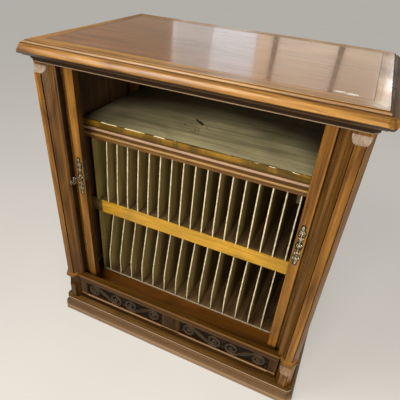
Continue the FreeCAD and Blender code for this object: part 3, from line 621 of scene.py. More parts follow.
def case_woods(context):
    finish = context.scene.cabinet_finish
    # painted shade: the frieze and its top rail are much darker copies of the walnut, as the lower
    # front lies farther from the light
    lower_shade = (0.27, 0.26, 0.20)
    paint(POSTS, walnut("walnut_post", "Z", finish, inner=post_groove_shade, scoops=SCOOPS))
    # painted shade: the left base block is a darker copy of the post walnut, as it lies in shadow
    paint(("left_base_block",), walnut("walnut_block", "Z", finish, light=0.42, inner=post_groove_shade,
                                       shine=0.12))
    paint(("shelf_moulding",), walnut("walnut_shelf_front", "X", finish, light=(0.8, 0.9, 1.3),
                                      lines=SHELF_LINES))
    # painted shade: the bed moulding under the cornice is a darker copy of the walnut
    paint(("bed_moulding",), walnut("walnut_bed", "X", finish, light=0.36, shine=0.12,
                                    lines=BED_LINES))
    paint(("left_base_cap", "right_base_cap"), walnut("walnut_cap", "X", finish, light=0.75))
    # painted shade: the plinth is a darker copy of the walnut
    for names, name, along in ((("plinth_front",), "walnut_plinth", "X"),
                               (("plinth_left", "plinth_right"), "walnut_deep", "Y")):
        paint(names, walnut(name, along, finish, light=(0.54, 0.60, 0.85), shine=0.14, coat=0.0,
                            lines=PLINTH_LINES))
    paint(("frieze_frame",), walnut("walnut_frieze", "X", finish, light=lower_shade, shine=0.12, coat=0.0,
                                    second=("Z", muntins), lines=FRIEZE_LINES))
    paint(("frieze_top_rail",), walnut("walnut_rail", "X", finish, light=lower_shade, shine=0.14, coat=0.0,
                                       lines=RAIL_LINES))
    # the stiles' closing edges get painted shade
    paint(("left_door_stile", "right_door_stile"),
          walnut("walnut_stile", "Z", finish, inner=closing_edge_shade))
    paint(("left_side_frame", "right_side_frame"),
          walnut("walnut_side", "Z", finish, inner=inside_face, second=("Y", side_rails)))
    paint(("left_side_panel", "right_side_panel"),
          walnut("walnut_side_panel", "Z", finish, light=0.92, inner=inside_face))


def top_finish(context):
    finish = context.scene.cabinet_finish
    # painted light: the cornice border is a lighter copy of the walnut, standing in for the light
    # on the cornice
    paint(("top_frame",), walnut("walnut_border", "X", finish, polish=0.34, coat=0.12, reach=0.003,
                                 light=(1.55, 1.72, 2.2), shine=0.5, second=("Y", mitres),
                                 lines=TOP_LINES))
    f = Finish("top_veneer")
    tone, fine, pores = figure(f, "X", 3.0)
    base = f.tones(tone, finish.field, (0.38, 0.58), (0.49, 1.0), (0.61, 1.45))
    base = f.shade(base, 0.45, pores, (0.34, 0.5), (0.46, 1.0))
    stain = f.noise(f.scaled((2.5, 6.0, 1.0)), 1.0, 3.0, 0.5, 0.6)
    base = f.shade(base, 0.9, stain, (0.4, 0.82), (0.6, 1.1))
    # dark line of the joint round the field
    x, y = f.off("X"), f.axis("Y")
    gap = 0.0011
    inner = f.times(f.between(x, -1, FIELD_X - gap),
                    f.between(y, FIELD_FRONT + gap, FIELD_BACK - gap))
    base = f.mix(inner, "#1C0F07", base)
    # chipped varnish near the front right corner, in two spots
    crumbs = f.times(f.noise(f.place, 150, 3.0), 1.5)
    chipped = 0.0
    for cx, cy, wide, deep in CHIPS:
        chipped = f.larger(f.spot((cx, cy), (wide, deep), crumbs, 1.6), chipped)
    base = f.mix(f.times(chipped, 0.9), base, "#F4EFE2")
    scratches = f.noise(f.scaled((14, 300, 1), turn=(0, 0, 0.5)), 1.0, 3.0, 0.7)
    gloss = f.ramp(f.noise(f.place, 3.5, 4.0, 0.6), (0.3, finish.top_polish),
                   (0.7, finish.top_polish * 2.0))
    gloss = f.shade(gloss, 0.75, fine, (0.36, 0.35), (0.60, 2.2))
    normal = f.bump(scratches, 0.03, 0.0004, f.bump(pores, 0.11, 0.0003))
    paint(("top_panel",), f.done(base, f.mix(chipped, gloss, "#FFFFFF"), normal, coat=0.35,
                                 coat_rough=0.06))


# ---- interior ----
def board(name, along, tint, rough=0.6, low=0.62, high=1.3, coat=0.0, grime_and_shade=0.75, deep=0.06,
          marks=None):
    """Plain dull board in one colour: streaks, pores, stains and painted shade in the corners.
    marks, if given, turns the finished colour into one with its own spots and strips, and on the
    upper shelf and the dividers painted light and shade."""
    f = Finish(name)
    tone, fine, pores = figure(f, along, 1.0)
    base = f.tones(tone, tint, (0.39, low), (0.49, 1.0), (0.60, high))
    base = f.shade(base, 0.45, pores, (0.34, 0.5), (0.46, 1.0))
    stain = f.noise(f.place, 4.5, 4.0, 0.6, 0.4)
    base = f.shade(base, 0.8, stain, (0.36, 0.72), (0.62, 1.12))
    if marks is not None:
        base = marks(f, base, tone)
    # painted shade in the corners
    base = f.shade_corners(base, grime_and_shade, "#100C06", (0.006, 0.45, 0.85), (deep, 0.30, 0.95))
    gloss = f.ramp(f.noise(f.place, 11.0, 3.0), (0.3, rough * 0.85), (0.7, min(1.0, rough * 1.2)))
    normal = f.bump(pores, 0.12, 0.0004, f.bump(fine, 0.16, 0.0006))
    return f.done(base, gloss, normal, coat=coat, coat_rough=0.3, shine=0.3)


def worn_shelf(finish):
    """Marks of the upper shelf: yellow front strip, flaking joint, a scraped patch, painted light
    and shade, and a painted glint.
    """
    def marks(f, base, tone):
        x, y = f.axis("X"), f.axis("Y")
        wander = f.minus(f.noise(f.scaled((9, 1, 1)), 1.0, 3.0), 0.5)
        edge = f.plus(y, f.times(wander, 0.006))
        strip = f.between(edge, -0.22, STRIP_BACK)
        pine = f.tones(tone, finish.pine, (0.40, 0.24), (0.50, 0.50), (0.60, 1.0))
        pine = f.mix(f.ramp(f.noise(f.scaled((22, 60, 1)), 1.0, 3.0), (0.42, 0.6), (0.55, 0.0)),
                     pine, "#33290A")
        # painted light and shade: lighter towards the front and the right, darker behind a slight
        # bow where the top's shadow falls
        off = f.plus(x, 0.06)
        bend = f.plus(y, f.times(f.times(off, off), 0.6))
        shelf_light_and_shade = f.times(f.ramp(f.plus(x, 0.5), (0.135, 0.37), (0.44, 0.95), (0.77, 1.0)),
                        f.ramp(f.plus(bend, 0.5), (0.54, 1.0), (0.606, 0.46), (0.68, 0.17),
                               (0.70, 0.13)))
        base = f.mix(1.0, base, f.mix(shelf_light_and_shade, (0, 0, 0, 1), (SHELF_LIGHT_MOST, SHELF_LIGHT_MOST, SHELF_LIGHT_MOST, 1)), "MULTIPLY")
        base = f.mix(strip, base, pine)
        base = f.mix(f.between(edge, STRIP_BACK - 0.0012, STRIP_BACK + 0.0008), base, "#1D1708")
        # paler patch with a scrape across it
        patch = f.times(f.between(f.plus(x, f.times(y, 0.5)), -0.145, -0.055, 0.012),
                        f.between(y, -0.086, 0.012, 0.02))
        base = f.mix(f.times(patch, 0.32), base, "#A59C72")
        scrape = f.noise(f.scaled((55, 16, 1), turn=(0, 0, 0.9)), 1.0, 4.0, 0.7, 1.2)
        base = f.mix(f.times(patch, f.times(f.under(scrape, 0.41), 0.6)), base, "#2E2612")
        # one dark stroke, with a painted glint of light at its end
        turned = f.scaled((1, 1, 0), (0.0574, 0.0245, 0), turn=(0, 0, 0.68))
        rough_edge = f.minus(f.noise(f.place, 120, 4.0), 0.5)

        def spot(centre, long, wide):
            return f.spot((centre, 0), (long, wide), f.times(rough_edge, 1.6), 1.0, turned)
        base = f.mix(f.times(spot(0.0, 0.046, 0.007), 0.85), base, "#171207")
        # varnish flaked off along the joint
        zone = 0.0
        for low, high, part in FLAKES:
            zone = f.larger(f.times(f.between(x, low, high, 0.004), part), zone)
        line = f.times(f.between(edge, STRIP_BACK - 0.0080, STRIP_BACK + 0.0008, 0.001),
                       f.over(f.axis("Z"), SHELF_TOP))
        crumbs = f.noise(f.scaled((26, 120, 1)), 1.0, 4.0, 0.65, 0.8)
        flakes_and_glint = f.times(line, f.over(f.times(zone, crumbs), 0.44))
        # painted glint: a highlight at the end of the dark stroke
        flakes_and_glint = f.larger(flakes_and_glint, spot(0.029, 0.011, 0.004))
        return f.mix(flakes_and_glint, base, "#FBEFC0")
    return marks


def divider_edges(finish):
    """Pale, slightly soiled front edges of the record dividers, and painted light near the front
    of their faces.
    """
    def marks(f, base, tone):
        pale = f.mix(f.ramp(f.noise(f.place, 60, 3), (0.40, 0.0), (0.66, 1.0)),
                     list(finish.divider_edge), tinted(finish.divider_edge, 0.66))
        y, z = f.axis("Y"), f.axis("Z")
        # painted light: faces lighter near their front and on the lower tier, with lit streaks,
        # where light reaches into the slots
        front = f.minus(1.0, f.times(f.plus(y, 0.165), 9.0, True))
        streak = f.ramp(tone, (0.38, 0.35), (0.58, 1.0))
        lower = f.ramp(z, (0.44, 0.85), (0.52, 0.50))
        worn = f.times(f.times(front, streak), lower)
        base = f.mix(0.62, base, tinted(finish.inside, 1.15))
        base = f.mix(worn, base, "#B7A163")
        return f.mix(f.under(f.facing("Y"), 0.2), base, pale)
    return marks


def pale_front(finish):
    """Thin pale front edge of the rack's floor."""
    def marks(f, base, tone):
        return f.mix(f.between(f.axis("Y"), -1, -0.1605), base, tinted(finish.divider_edge, 0.8))
    return marks


def interior_finish(context):
    finish = context.scene.cabinet_finish
    paint(("track_board",), board("inner_board", "X", finish.inside, 0.7))
    paint(("back_panel",), board("back_boards", "Z", tinted(finish.inside, 1.5), 0.7))
    paint(("bottom_board",), board("floor_board", "X", "#673D0B", 0.42, coat=0.1, deep=0.03))
    # painted light: the rack's back board is given a very pale colour to stand in for the light it
    # gets
    paint(("rack_back",), board("rack_back_board", "X", "#DCCB98", 0.65, 0.7, 1.15, grime_and_shade=0.4,
                                deep=0.02))
    paint(("left_rack_side", "right_rack_side"),
          board("rack_side_board", "Z", tinted(finish.divider, 0.9), 0.6))
    paint(("middle_shelf",), board("tier_floor", "Y", "#6B5236", 0.45, 0.4, 1.6))
    paint(("rack_base",), board("rack_floor", "Y", "#6B5236", 0.45, 0.4, 1.6,
                                marks=pale_front(finish)))
    paint(("upper_shelf",), board("worn_shelf", "X", finish.shelf, 0.50, 0.66, 1.3, 0.15,
                                  marks=worn_shelf(finish)))
    paint(("middle_shelf_rail",), board("shelf_rail", "X", tinted(finish.divider, 0.5)))
    paint(("middle_shelf_lipping",), board("pine_lipping", "X", finish.pine, 0.36, 0.72, 1.28,
                                           0.25, deep=0.012))
    dividers = [f"lower_divider_{i + 1:02d}" for i in range(15)] + ["upper_dividers"]
    paint(dividers, board("divider_board", "Z", finish.divider, 0.6, 0.6, 1.35, deep=0.045,
                          marks=divider_edges(finish)))


# ---- carved frieze panels ----
# each S-scroll runs between two volutes (eye X, eye Z, radius); 1 winds anticlockwise
SCROLLS = (((79.0, 132.8, 26.0), (178.5, 132.6, 28.0), 1),
           ((252.5, 132.6, 28.0), (351.0, 132.8, 26.0), -1))
GROUND, PANEL_BACK = -287.0, -274.0


def s_scroll(r, left, right, hand, height):
    """Two volutes that wind one way, the reeded band between them and its leaves."""
    (x0, z0, r0), (x1, z1, r1) = left, right
    span = math.hypot(x1 - x0, z1 - z0)
    start = math.atan2(z1 - z0, x1 - x0) + hand * math.acos((r0 + r1) / span)
    out = np.array((math.cos(start), math.sin(start)))
    first, last = np.array((x0, z0)) + r0 * out, np.array((x1, z1)) - r1 * out
    run = last - first
    for t0, away, size, turn in ((0.10, -1, 19, 30), (0.36, -1, 21, 24), (0.90, 1, 19, 30),
                                 (0.64, 1, 21, 24), (0.22, 1, 15, 46), (0.78, -1, 15, 46)):
        root = first + run * t0 + out * away * 2.5
        heading = math.atan2(run[1], run[0]) + (0 if away < 0 else math.pi)
        r.leaf(*root, heading + hand * math.radians(turn), size, 6.0, height * 0.72, 3)
    r.volute(x0, z0, r0, math.degrees(start), hand, 1.5, 6.2, height, 5.4)
    r.volute(x1, z1, r1, math.degrees(start) + 180, hand, 1.6, 6.4, height, 6.0)
    t = np.linspace(0, 1, 14)
    r.band(first + run * t[:, None], 9.4 - 4.2 * np.abs(2 * t - 1), height * 1.02, 3)


def carved_panel(context, side, finish):
    height = context.scene.cabinet_sizes.carving_height / MM
    step = context.scene.cabinet_sizes.carving_step / MM
    name = side + "_frieze_panel"
    low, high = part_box(name)
    r = Relief(low.x / MM, high.x / MM, low.z / MM, high.z / MM, step)
    if side == "left":  # the left panel mirrors the right
        r.x = -r.x
    x0, x1, mid = r.x.min(), r.x.max(), SCROLLS[0][0][1]
    for left, right, hand in SCROLLS:
        s_scroll(r, left, right, hand, height)
    for (cx, cz, size), first in ((SCROLLS[1][1], 100), (SCROLLS[0][0], 70)):
        for k in range(4):  # leaf curled round the outer volutes' eyes
            r.leaf(cx, cz, math.radians(first + 78 * k), size * 0.72, 6.0, height * 0.94, 3)
        r.boss(cx, cz, 4.6, height * 1.15)
    seam = (SCROLLS[0][1][0] + SCROLLS[1][0][0]) / 2
    for up in (1, -1):  # husks in the seam and leaves in the corners
        r.leaf(seam, mid + up * 6, math.radians(90 * up), 21, 5.5, height * 0.7, 3)
        for hand in (1, -1):
            r.leaf(seam + hand * 2, mid + up * 12, math.radians(up * (90 - hand * 48)), 17, 4.6,
                   height * 0.62, 3)
        for end, tilt in ((x0 + 2, 48), (x1 - 2, 132)):
            r.leaf(end, mid + up * 30, math.radians(-up * tilt), 15, 5.5, height * 0.6, 3)
    r.soften(1)
    rng = np.random.default_rng(5 if side == "right" else 9)
    r.h = r.h + rng.normal(0, 0.09, r.h.shape)
    if side == "left":
        r.x = -r.x
    piece = r.mesh(side + "_carving", GROUND, PANEL_BACK, finish=finish, body="cabinet",
                   slot="carved_walnut")
    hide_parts(name)


def carved_panels(context):
    height = context.scene.cabinet_sizes.carving_height
    f = Finish("carved_walnut")
    tone = figure(f, "X", 5.0)[0]
    relief = f.times(f.minus(GROUND * MM, f.axis("Y")), 1 / height, True)
    # darker ground and paler high points: partly dirt and rubbing, partly painted shade and
    # painted highlight
    base = f.ramp(relief, (0.0, "#170F08"), (0.28, "#281C10"), (0.65, "#31251A"), (1.0, "#4E4031"))
    base = f.shade(base, 0.6, f.noise(f.place, 80, 4), (0.3, 0.55), (0.7, 1.2))
    base = f.shade(base, 0.5, tone, (0.4, 0.7), (0.6, 1.15))
    # painted shade in the carving's hollows
    base = f.shade_corners(base, 0.85, "#080502", (0.006, 0.3, 0.8))
    rough = f.ramp(relief, (0.0, 0.7), (0.9, 0.38))
    material = f.done(base, rough, f.bump(f.noise(f.place, 700, 2), 0.25, 0.0004), shine=0.16)
    for side in ("left", "right"):
        carved_panel(context, side, material)


# ---- tambour doors ----
BEND_X, BEND_Y, BEND_R = 394.0, -200.0, 40.0  # middle and radius of the groove's bend
SLATS, FIRST_SLAT = 16, 16.4  # slats of a door, and where the first one lies
LOW, HIGH = 132.8, 1041.7  # the slats' two ends
SLAT_CROWN = (0.9, 0.62, 0.3)  # points of a slat's face, as shares of its half
SLAT_EDGE, SLAT_FACE, CROWN_RISE = 6.7, 7.6, 2.4
SHUT_FROM, SHUT_TO = 31.7, 406.4  # X that the slats cover on a shut door
SPREAD_FROM, SPREAD_TO = 408.5, 433.5  # X over which the moving slats are pressed
TAPE_ROWS, TAPE_HALF, TAPE_SKIN = (158.0, 477.0, 797.0, 1022.0), 15.0, (0.1, 0.9)
TAPE_SIDES = ((0, 1, 5, 4), (2, 6, 7, 3), (0, 4, 6, 2), (1, 3, 7, 5))


def slat_section(half):
    """Crowned slat seen from above: (across, out of the back face), in mm."""
    across = [-a for a in SLAT_CROWN] + [0.0] + list(SLAT_CROWN[::-1])
    front = [(half * a, SLAT_FACE + CROWN_RISE * (1 - a * a)) for a in across]
    return [(-half, 0.0), (-half, SLAT_EDGE)] + front + [(half, SLAT_EDGE), (half, 0.0)]


def on_bend(s):
    """Place and heading at a distance along the groove: round the bend, then along the side."""
    quarter = BEND_R * math.pi / 2
    if s < quarter:
        a = s / BEND_R
        return BEND_X + BEND_R * math.sin(a), BEND_Y - BEND_R * math.cos(a), a
    return BEND_X + BEND_R, BEND_Y + s - quarter, math.pi / 2


def at_rest(closed_x):
    """Where a point of the curtain that lies at closed_x on a shut door is kept, in mm."""
    lo, hi = 390.0, SPREAD_TO
    for _ in range(50):
        x = (lo + hi) / 2
        t = min(max((x - SPREAD_FROM) / (SPREAD_TO - SPREAD_FROM), 0), 1)
        if x - CLOSED / MM * (1 - t * t * (3 - 2 * t)) < closed_x:
            lo = x
        else:
            hi = x
    return x


def slats(name, side, half, places, finishes, body=None):
    """Upright slats in one mesh; each place turns a point of their section into X and Y.
    The finishes are those of the face, the unpolished back and the dark edges."""
    sign = 1 if side == "right" else -1
    section = slat_section(half)
    verts, faces = [], []
    for place in places:
        bar(verts, faces, [place(u, v) for u, v in section], LOW, HIGH, lambda x, y,
            z: (sign * x * MM, y * MM, z * MM))
    if sign < 0:
        faces = [f[::-1] for f in faces]
    piece = make(side + name, verts, faces, finishes[0], smooth=False, body=body, slot="walnut")
    for finish in finishes[1:]:
        piece.data.materials.append(finish)
    sides = len(section)
    for i, face in enumerate(piece.data.polygons):
        number = i % (sides + 2)  # each slat's two ends come first
        if number == sides + 1:
            face.material_index = 1
        elif number in (2, 3, sides - 1, sides):
            face.material_index = 2
    return piece


def stored_place(x, y, a):
    """Sets a slat's section at a point of the groove, square to it."""
    c, s = math.cos(a), math.sin(a)
    return lambda u, v: (x + u * c + v * s, y + u * s - v * c)


def leading_place(centre):
    """Sets a slat's section behind the post, pressed as it is with the door open."""
    return lambda u, v: (at_rest(centre + u), BEND_Y - BEND_R - v)


def curtain(context, side, finishes, web):
    """One door's slats and the webbing on their backs."""
    sizes = context.scene.cabinet_sizes
    pitch = sizes.slat_pitch / MM
    half = (pitch - sizes.slat_gap / MM) / 2
    sign = 1 if side == "right" else -1

    # slats that stay in the side of the case
    middles = [on_bend(FIRST_SLAT + pitch * i) for i in range(1, SLATS)]
    stored = slats("_curtain_stored", side, half, [stored_place(*m) for m in middles], finishes,
                   "cabinet")
    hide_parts(side + "_tambour_slats")

    # slats that follow the stile and spread across the front
    count = int((SHUT_TO - SHUT_FROM) / pitch)
    places = [leading_place(SHUT_FROM + pitch * j + half) for j in range(count + 1)]
    leading = slats("_curtain_leading", side, half, places, finishes)
    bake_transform(leading)
    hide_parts(side + "_tambour_slats")

    # webbing on the stored slats' backs
    line = [(x + end * half * math.cos(a), y + end * half * math.sin(a), a) for x, y, a in middles
            for end in (-1, 1)]
    verts, faces = [], []
    for z in TAPE_ROWS:
        for ends in zip(line[:-1], line[1:]):
            first = len(verts)
            verts.extend((sign * (x - deep * math.sin(a)) * MM, (y + deep * math.cos(a)) * MM,
                          (z + up) * MM) for x, y, a in ends for deep in TAPE_SKIN
                         for up in (-TAPE_HALF, TAPE_HALF))
            faces.extend([first + k for k in (q if sign > 0 else q[::-1])] for q in TAPE_SIDES)
    tapes = make(side + "_webbing", verts, faces, web, smooth=False, body="cabinet",
                 slot="webbing")
    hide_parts(side + "_tambour_tapes")


def tambours(context):
    finish = context.scene.cabinet_finish
    wood = walnut("walnut_slats", "Z", finish, polish=0.42, light=0.85, coat=0.1, wear_and_highlight=0.35,
                  reach=0.003)
    dull = board("slat_backs", "Z", tinted(finish.inside, 0.8), 0.7, deep=0.03)
    f = Finish("slat_joints")
    base = f.ramp(f.noise(f.scaled((1, 1, 0.2)), 60, 4.0), (0.35, "#160C05"), (0.65, "#38210F"))
    joint = f.done(base, 0.7, f.bump(f.noise(f.place, 400, 3.0), 0.2, 0.0003))
    f = Finish("linen_webbing")
    weave = f.add("ShaderNodeTexWave", {"wave_type": "BANDS", "bands_direction": "Z"},
                  Vector=f.place, Scale=260.0, Distortion=1.0, Detail=2.0)
    base = f.mix(weave.outputs["Fac"], "#4A4030", "#7A6C4C")
    web = f.done(base, 0.85, f.bump(weave.outputs["Fac"], 0.4, 0.0004))
    for side in ("left", "right"):
        curtain(context, side, (wood, dull, joint), web)


# ---- finger plates, key and lock ----
PLATE_DEPTH = 1.9  # relief of the casting, in mm
KEYHOLE_X = -381.0


def plate_half_width(z):
    """Outline of the finger plate: half its width at height z from its middle, in mm."""
    a = np.abs(z)
    body = 8.2 + 3.4 * np.exp(-(a / 9.0) ** 2) + 3.2 * np.exp(-((a - 44) / 11.0) ** 2)
    neck = 1 - 0.42 * np.exp(-((a - 61) / 3.2) ** 2)
    tip = np.sqrt(np.clip(1 - (np.clip(a - 63, 0, 12) / 12.0) ** 2, 0, 1))
    return body * neck * np.where(a > 63, tip, 1) * (1 + 0.05 * np.cos(a * 1.1))


def finger_plate(context, side, metal):
    sizes = context.scene.cabinet_sizes
    height = sizes.plate_relief / MM
    name = side + "_finger_plate"
    low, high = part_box(name)
    cx, cz = (low.x + high.x) / 2 / MM, (low.z + high.z) / 2 / MM
    r = Relief(-12.6, 12.6, -75, 75, 0.45)
    half = plate_half_width(r.z)
    inside = np.abs(r.x) < half
    rim = np.clip(1 - np.abs(np.abs(r.x) - half + 1.1) / 1.1, 0, 1)
    r.h = np.where(inside, 0.25 * height + 0.45 * height * np.sqrt(rim), 0)
    for up in (1, -1):
        for hand in (1, -1):
            r.volute(hand * 4.3, up * 47, 5.2, 90 - 20 * hand, hand * up, 1.3, 1.25, height, 1.5,
                     1)
            r.volute(hand * 3.9, up * 27, 4.6, -90, -hand * up, 1.2, 1.15, height, 1.3, 1)
            r.leaf(0, up * 50, math.radians(90 * up - 34 * hand), 14, 3.2, height, 3)
            r.leaf(hand * 2, up * 30, math.radians(-90 * up + 28 * hand), 16, 3.0, height * 0.8, 3)
            r.boss(hand * 6.8, up * 38, 1.9, height)
            r.boss(hand * 6.2, up * 17, 1.7, height)
        r.leaf(0, up * 56, math.radians(90 * up), 18, 4.6, height * 1.1, 4)
        r.boss(0, up * 66, 2.6, height * 1.1)
        r.band([(0, up * 8), (0, up * 52)], [1.2, 1.2], height * 0.9, 1)
    if side == "right":
        r.boss(0, 0, 6.5, height * 0.8)
        r.volute(0, 0, 8.4, 0, 1, 1.4, 1.3, height, 2.6, 1)
    else:
        beside = r.x - KEYHOLE_X + cx
        ring = np.hypot(beside, r.z)
        r.raise_to(np.where(np.abs(ring - 6.2) < 1.6, height * 0.9, 0))
        hole = (ring < 3.2) | ((np.abs(beside) < 1.5) & (r.z < 0) & (r.z > -8))
        inside = inside & ~hole
    for up in (1, -1):  # pierced eyes between the scrolls
        for hand in (1, -1):
            for px, pz, pr in ((3.4, 37.5, 1.9), (3.0, 18.5, 1.7)):
                inside &= np.hypot(r.x - hand * px, r.z - up * pz) > pr
    r.soften(1)
    r.x, r.z = r.x + cx, r.z + cz
    ground = low.y / MM + PLATE_DEPTH
    r.h = np.clip(r.h * 0.62, 0, PLATE_DEPTH)
    piece = r.mesh(side + "_plate_casting", ground, high.y / MM, inside, finish=metal, body=side
                   + "_door", slot="bronze")
    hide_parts(name)


def metalwork(context):
    finish = context.scene.cabinet_finish
    f = Finish("aged_bronze")
    mottle = f.noise(f.place, 160, 5.0, 0.6)
    patina = f.ramp(mottle, (0.35, tinted(finish.bronze, 0.5)), (0.6, list(finish.bronze)),
                    (0.8, "#55593E"))
    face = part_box("left_finger_plate")[0].y + PLATE_DEPTH * MM
    relief = f.times(f.minus(face, f.axis("Y")), 1 / (PLATE_DEPTH * MM), True)
    # bright high points of the plates: partly rubbed bronze, partly painted glints
    rubbed = f.ramp(f.plus(relief, f.times(f.noise(f.place, 240, 2.0), 0.30)), (0.86, 0.0),
                    (1.06, 1.0))
    base = f.mix(rubbed, patina, list(finish.rubbed_metal_and_glint))
    base = f.mix(f.ramp(f.hollow(0.003), (0.3, 0.0), (0.8, 0.9)), base, "#0C0B06")
    bronze = f.done(base, f.ramp(rubbed, (0.0, 0.42), (1.0, 0.2)), f.bump(mottle, 0.2, 0.0003),
                    metal=0.8)
    for side in ("left", "right"):
        finger_plate(context, side, bronze)

    f = Finish("worn_steel")
    brushed = f.noise(f.scaled((300, 60, 300)), 1.0, 4.0, 0.6)
    base = f.ramp(brushed, (0.3, "#57544C"), (0.7, "#A39C8C"))
    base = f.mix(f.ramp(f.noise(f.place, 70, 4), (0.5, 0.0), (0.72, 0.7)), base, "#4A3420")
    steel = f.done(base, f.ramp(brushed, (0.3, 0.25), (0.7, 0.45)), metal=0.9)
    paint(("lock_case", "lock_bolt", "strike_plate"), steel)
    f = Finish("old_key")
    mottle = f.noise(f.place, 150, 4.0, 0.6)
    base = f.ramp(mottle, (0.35, "#6A6558"), (0.65, "#B9B2A0"))
    # bright convex edges of the key: partly rubbed steel, partly painted glints
    base = f.mix(f.ramp(f.hollow(0.0015, True), (0.4, 0.0), (0.75, 1.0)), base,
                 list(finish.rubbed_metal_and_glint))
    paint(("key",), f.done(base, 0.24, f.bump(mottle, 0.15, 0.0003), metal=0.9))


# ---- studio ----
# name, place, aim, size, watts, tint
SOFTBOXES = (("key_softbox", (0.25, -2.15, 1.5), (0.1, -0.1, 0.7), 1.0, 42, (1.0, 0.94, 0.85)),
             ("left_softbox", (-1.0, -1.15, 2.1), (-0.3, -0.3, 1.0), 0.8, 13, (1.0, 0.97, 0.92)),
             ("overhead_softbox", (-0.5, -0.95, 2.3), (-0.2, -0.3, 1.0), 0.8, 14,
              (1.0, 0.97, 0.92)),
             ("right_fill", (1.2, -1.5, 0.5), (0.40, -0.3, 0.12), 0.6, 10, (1.0, 0.91, 0.77)))
# what the polished top reflects: name, place, width, height, watts, tint
REAR = (("window_left", (-1.287, 2.6, 1.85), 0.406, 1.0, 0.98, (1.0, 0.95, 0.90)),
        ("window_right", (-0.84, 2.6, 1.85), 0.44, 1.0, 1.7, (0.97, 0.98, 1.0)),
        ("rear_board_1", (-0.535, 2.6, 1.85), 0.15, 1.0, 0.50, (1.0, 0.74, 0.50)),
        ("rear_board_2", (-0.135, 2.6, 1.85), 0.55, 1.0, 1.85, (1.0, 0.80, 0.62)),
        ("rear_board_3", (0.40, 2.6, 1.85), 0.44, 1.0, 1.35, (1.0, 0.78, 0.57)),
        ("rear_corner", (0.69, 2.55, 1.78), 0.16, 0.40, 2.2, (1.0, 0.97, 0.92)),
        ("rear_wall", (-2.35, 2.6, 1.85), 1.6, 1.0, 1.5, (1.0, 0.62, 0.36)))
CAMERA_PLACE = (0.4182, -1.1524, 1.3614)
YAW, PITCH, ROLL = -0.3742, 0.5948, 0.0805
FLOOR = ((-14, -10, 0), (14, -10, 0), (14, 18, 0), (-14, 18, 0))


def lamp(name, place, aim, size, power, tint=(1, 1, 1), size_y=None):
    data = bpy.data.lights.new(name, "AREA")
    data.energy, data.size, data.color = power, size, tint
    if size_y:
        data.shape, data.size_y = "RECTANGLE", size_y
    light = bpy.data.objects.new(name, data)
    bpy.context.scene.collection.objects.link(light)
    light.location = place
    light.rotation_euler = (Vector(aim) - Vector(place)).to_track_quat("-Z", "Y").to_euler()
    return light


def studio(context):
    # the floor shows pale, and throws less light up at the cabinet than it seems to
    f = Finish("pale_floor")
    path = f.add("ShaderNodeLightPath")
    seen = f.larger(path.outputs["Is Camera Ray"], path.outputs["Is Glossy Ray"])
    seen = f.larger(seen, path.outputs["Is Transmission Ray"])
    grey = f.ramp(f.noise(f.place, 1.5, 3.0), (0.3, "#A29F9A"), (0.7, "#A8A5A0"))
    low, high = CAD_BOX
    under = f.times(f.between(f.axis("X"), low[0] + 0.02, high[0] - 0.02, 0.02),
                    f.between(f.axis("Y"), low[1] + 0.02, high[1] - 0.02, 0.02))
    glow = f.times(f.minus(1.0, under), 0.46)
    f.put(f.shader.inputs["Emission Color"], "#E6E3DD")
    f.put(f.shader.inputs["Emission Strength"], f.times(seen, glow))
    material = f.done(f.mix(seen, "#55524D", grey), 0.85)
    make("studio_floor", FLOOR, [(0, 1, 2, 3)], material)
    world = bpy.data.worlds.new("studio_air")
    context.scene.world = world
    world.use_nodes = True
    sky = world.node_tree.nodes["Background"]
    sky.inputs["Color"].default_value = (0.92, 0.86, 0.76, 1)
    sky.inputs["Strength"].default_value = 0.20
    for name, *rest in SOFTBOXES:
        lamp(name, *rest).visible_glossy = name != "key_softbox"
    for name, place, wide, high, power, tint in REAR:
        lamp(name, place, (place[0] * 0.3, 0.0, 1.1), wide, power, tint, high)

    camera = bpy.data.objects.new("camera", bpy.data.cameras.new("camera"))
    context.scene.collection.objects.link(camera)
    ahead = Vector((math.sin(YAW) * math.cos(PITCH), math.cos(YAW) * math.cos(PITCH),
                    -math.sin(PITCH)))
    right = Vector((math.cos(YAW), -math.sin(YAW), 0))
    up = right.cross(ahead)
    side = math.cos(ROLL) * right + math.sin(ROLL) * up
    top = -math.sin(ROLL) * right + math.cos(ROLL) * up
    turn = Matrix((side, top, -ahead)).transposed().to_4x4()
    camera.matrix_world = Matrix.Translation(CAMERA_PLACE) @ turn
    camera.data.angle = context.scene.cabinet_sizes.view_angle
    camera.data.clip_start, camera.data.clip_end = 0.01, 60
    context.scene.camera = camera
    context.scene.view_settings.view_transform = "Standard"


# ---- operators and panel ----
class Step:
    """What every step of the cabinet shares."""
    bl_options = {"REGISTER", "UNDO"}


class CABINET_OT_studio(Step, bpy.types.Operator):
    """Lay the floor, hang the lamps and set the camera"""
    bl_idname = "cabinet.studio"
    bl_label = "Studio"

    def execute(self, context):
        studio(context)
        return {"FINISHED"}


class CABINET_OT_case_woods(Step, bpy.types.Operator):
    """Finish the posts, sides, stiles, frieze and plinth"""
    bl_idname = "cabinet.case_woods"
    bl_label = "Case woods"

    def execute(self, context):
        case_woods(context)
        return {"FINISHED"}


class CABINET_OT_top_finish(Step, bpy.types.Operator):
    """Finish the top's mitred border and its veneered field"""
    bl_idname = "cabinet.top_finish"
    bl_label = "Top"

    def execute(self, context):
        top_finish(context)
        return {"FINISHED"}


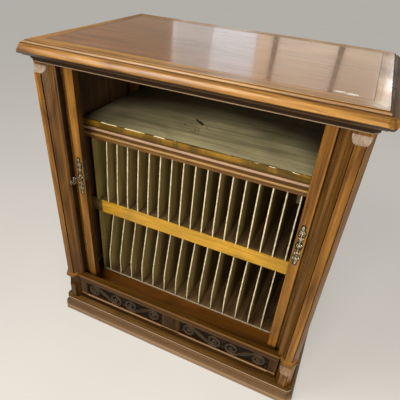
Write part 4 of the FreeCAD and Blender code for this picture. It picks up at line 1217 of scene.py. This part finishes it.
class CABINET_OT_interior_finish(Step, bpy.types.Operator):
    """Finish the shelves, the rack, its dividers and the inner boards"""
    bl_idname = "cabinet.interior_finish"
    bl_label = "Interior"

    def execute(self, context):
        interior_finish(context)
        return {"FINISHED"}


class CABINET_OT_carved_panels(Step, bpy.types.Operator):
    """Carve the two frieze panels"""
    bl_idname = "cabinet.carved_panels"
    bl_label = "Carved panels"

    def execute(self, context):
        carved_panels(context)
        return {"FINISHED"}


class CABINET_OT_tambours(Step, bpy.types.Operator):
    """Make both doors' slats and the webbing behind them"""
    bl_idname = "cabinet.tambours"
    bl_label = "Tambour doors"

    def execute(self, context):
        tambours(context)
        return {"FINISHED"}


class CABINET_OT_metalwork(Step, bpy.types.Operator):
    """Cast the finger plates and finish the lock and its key"""
    bl_idname = "cabinet.metalwork"
    bl_label = "Metalwork"

    def execute(self, context):
        metalwork(context)
        return {"FINISHED"}


STEPS = (CABINET_OT_studio, CABINET_OT_case_woods, CABINET_OT_top_finish,
         CABINET_OT_interior_finish, CABINET_OT_carved_panels, CABINET_OT_tambours,
         CABINET_OT_metalwork)


class CABINET_PT_sidebar(bpy.types.Panel):
    """Sidebar panel with the cabinet's settings and steps."""
    bl_idname = "CABINET_PT_sidebar"
    bl_label = "Record cabinet"
    bl_space_type = "VIEW_3D"
    bl_region_type = "UI"
    bl_category = "Cabinet"

    def draw(self, context):
        for step in STEPS:
            self.layout.operator(step.bl_idname)
        for group in (context.scene.cabinet_finish, context.scene.cabinet_sizes):
            box = self.layout.box()
            for key in type(group).__annotations__:
                box.prop(group, key)


CLASSES = (CabinetFinish, CabinetSizes) + STEPS + (CABINET_PT_sidebar,)


def register():
    for item in CLASSES:
        bpy.utils.register_class(item)
    bpy.types.Scene.cabinet_finish = bpy.props.PointerProperty(type=CabinetFinish)
    bpy.types.Scene.cabinet_sizes = bpy.props.PointerProperty(type=CabinetSizes)


def unregister():
    del bpy.types.Scene.cabinet_finish
    del bpy.types.Scene.cabinet_sizes
    for item in reversed(CLASSES):
        bpy.utils.unregister_class(item)


def main():
    register()
    for step in STEPS:
        getattr(bpy.ops.cabinet, step.bl_idname.split(".")[1])()


if __name__ == "__main__":
    main()
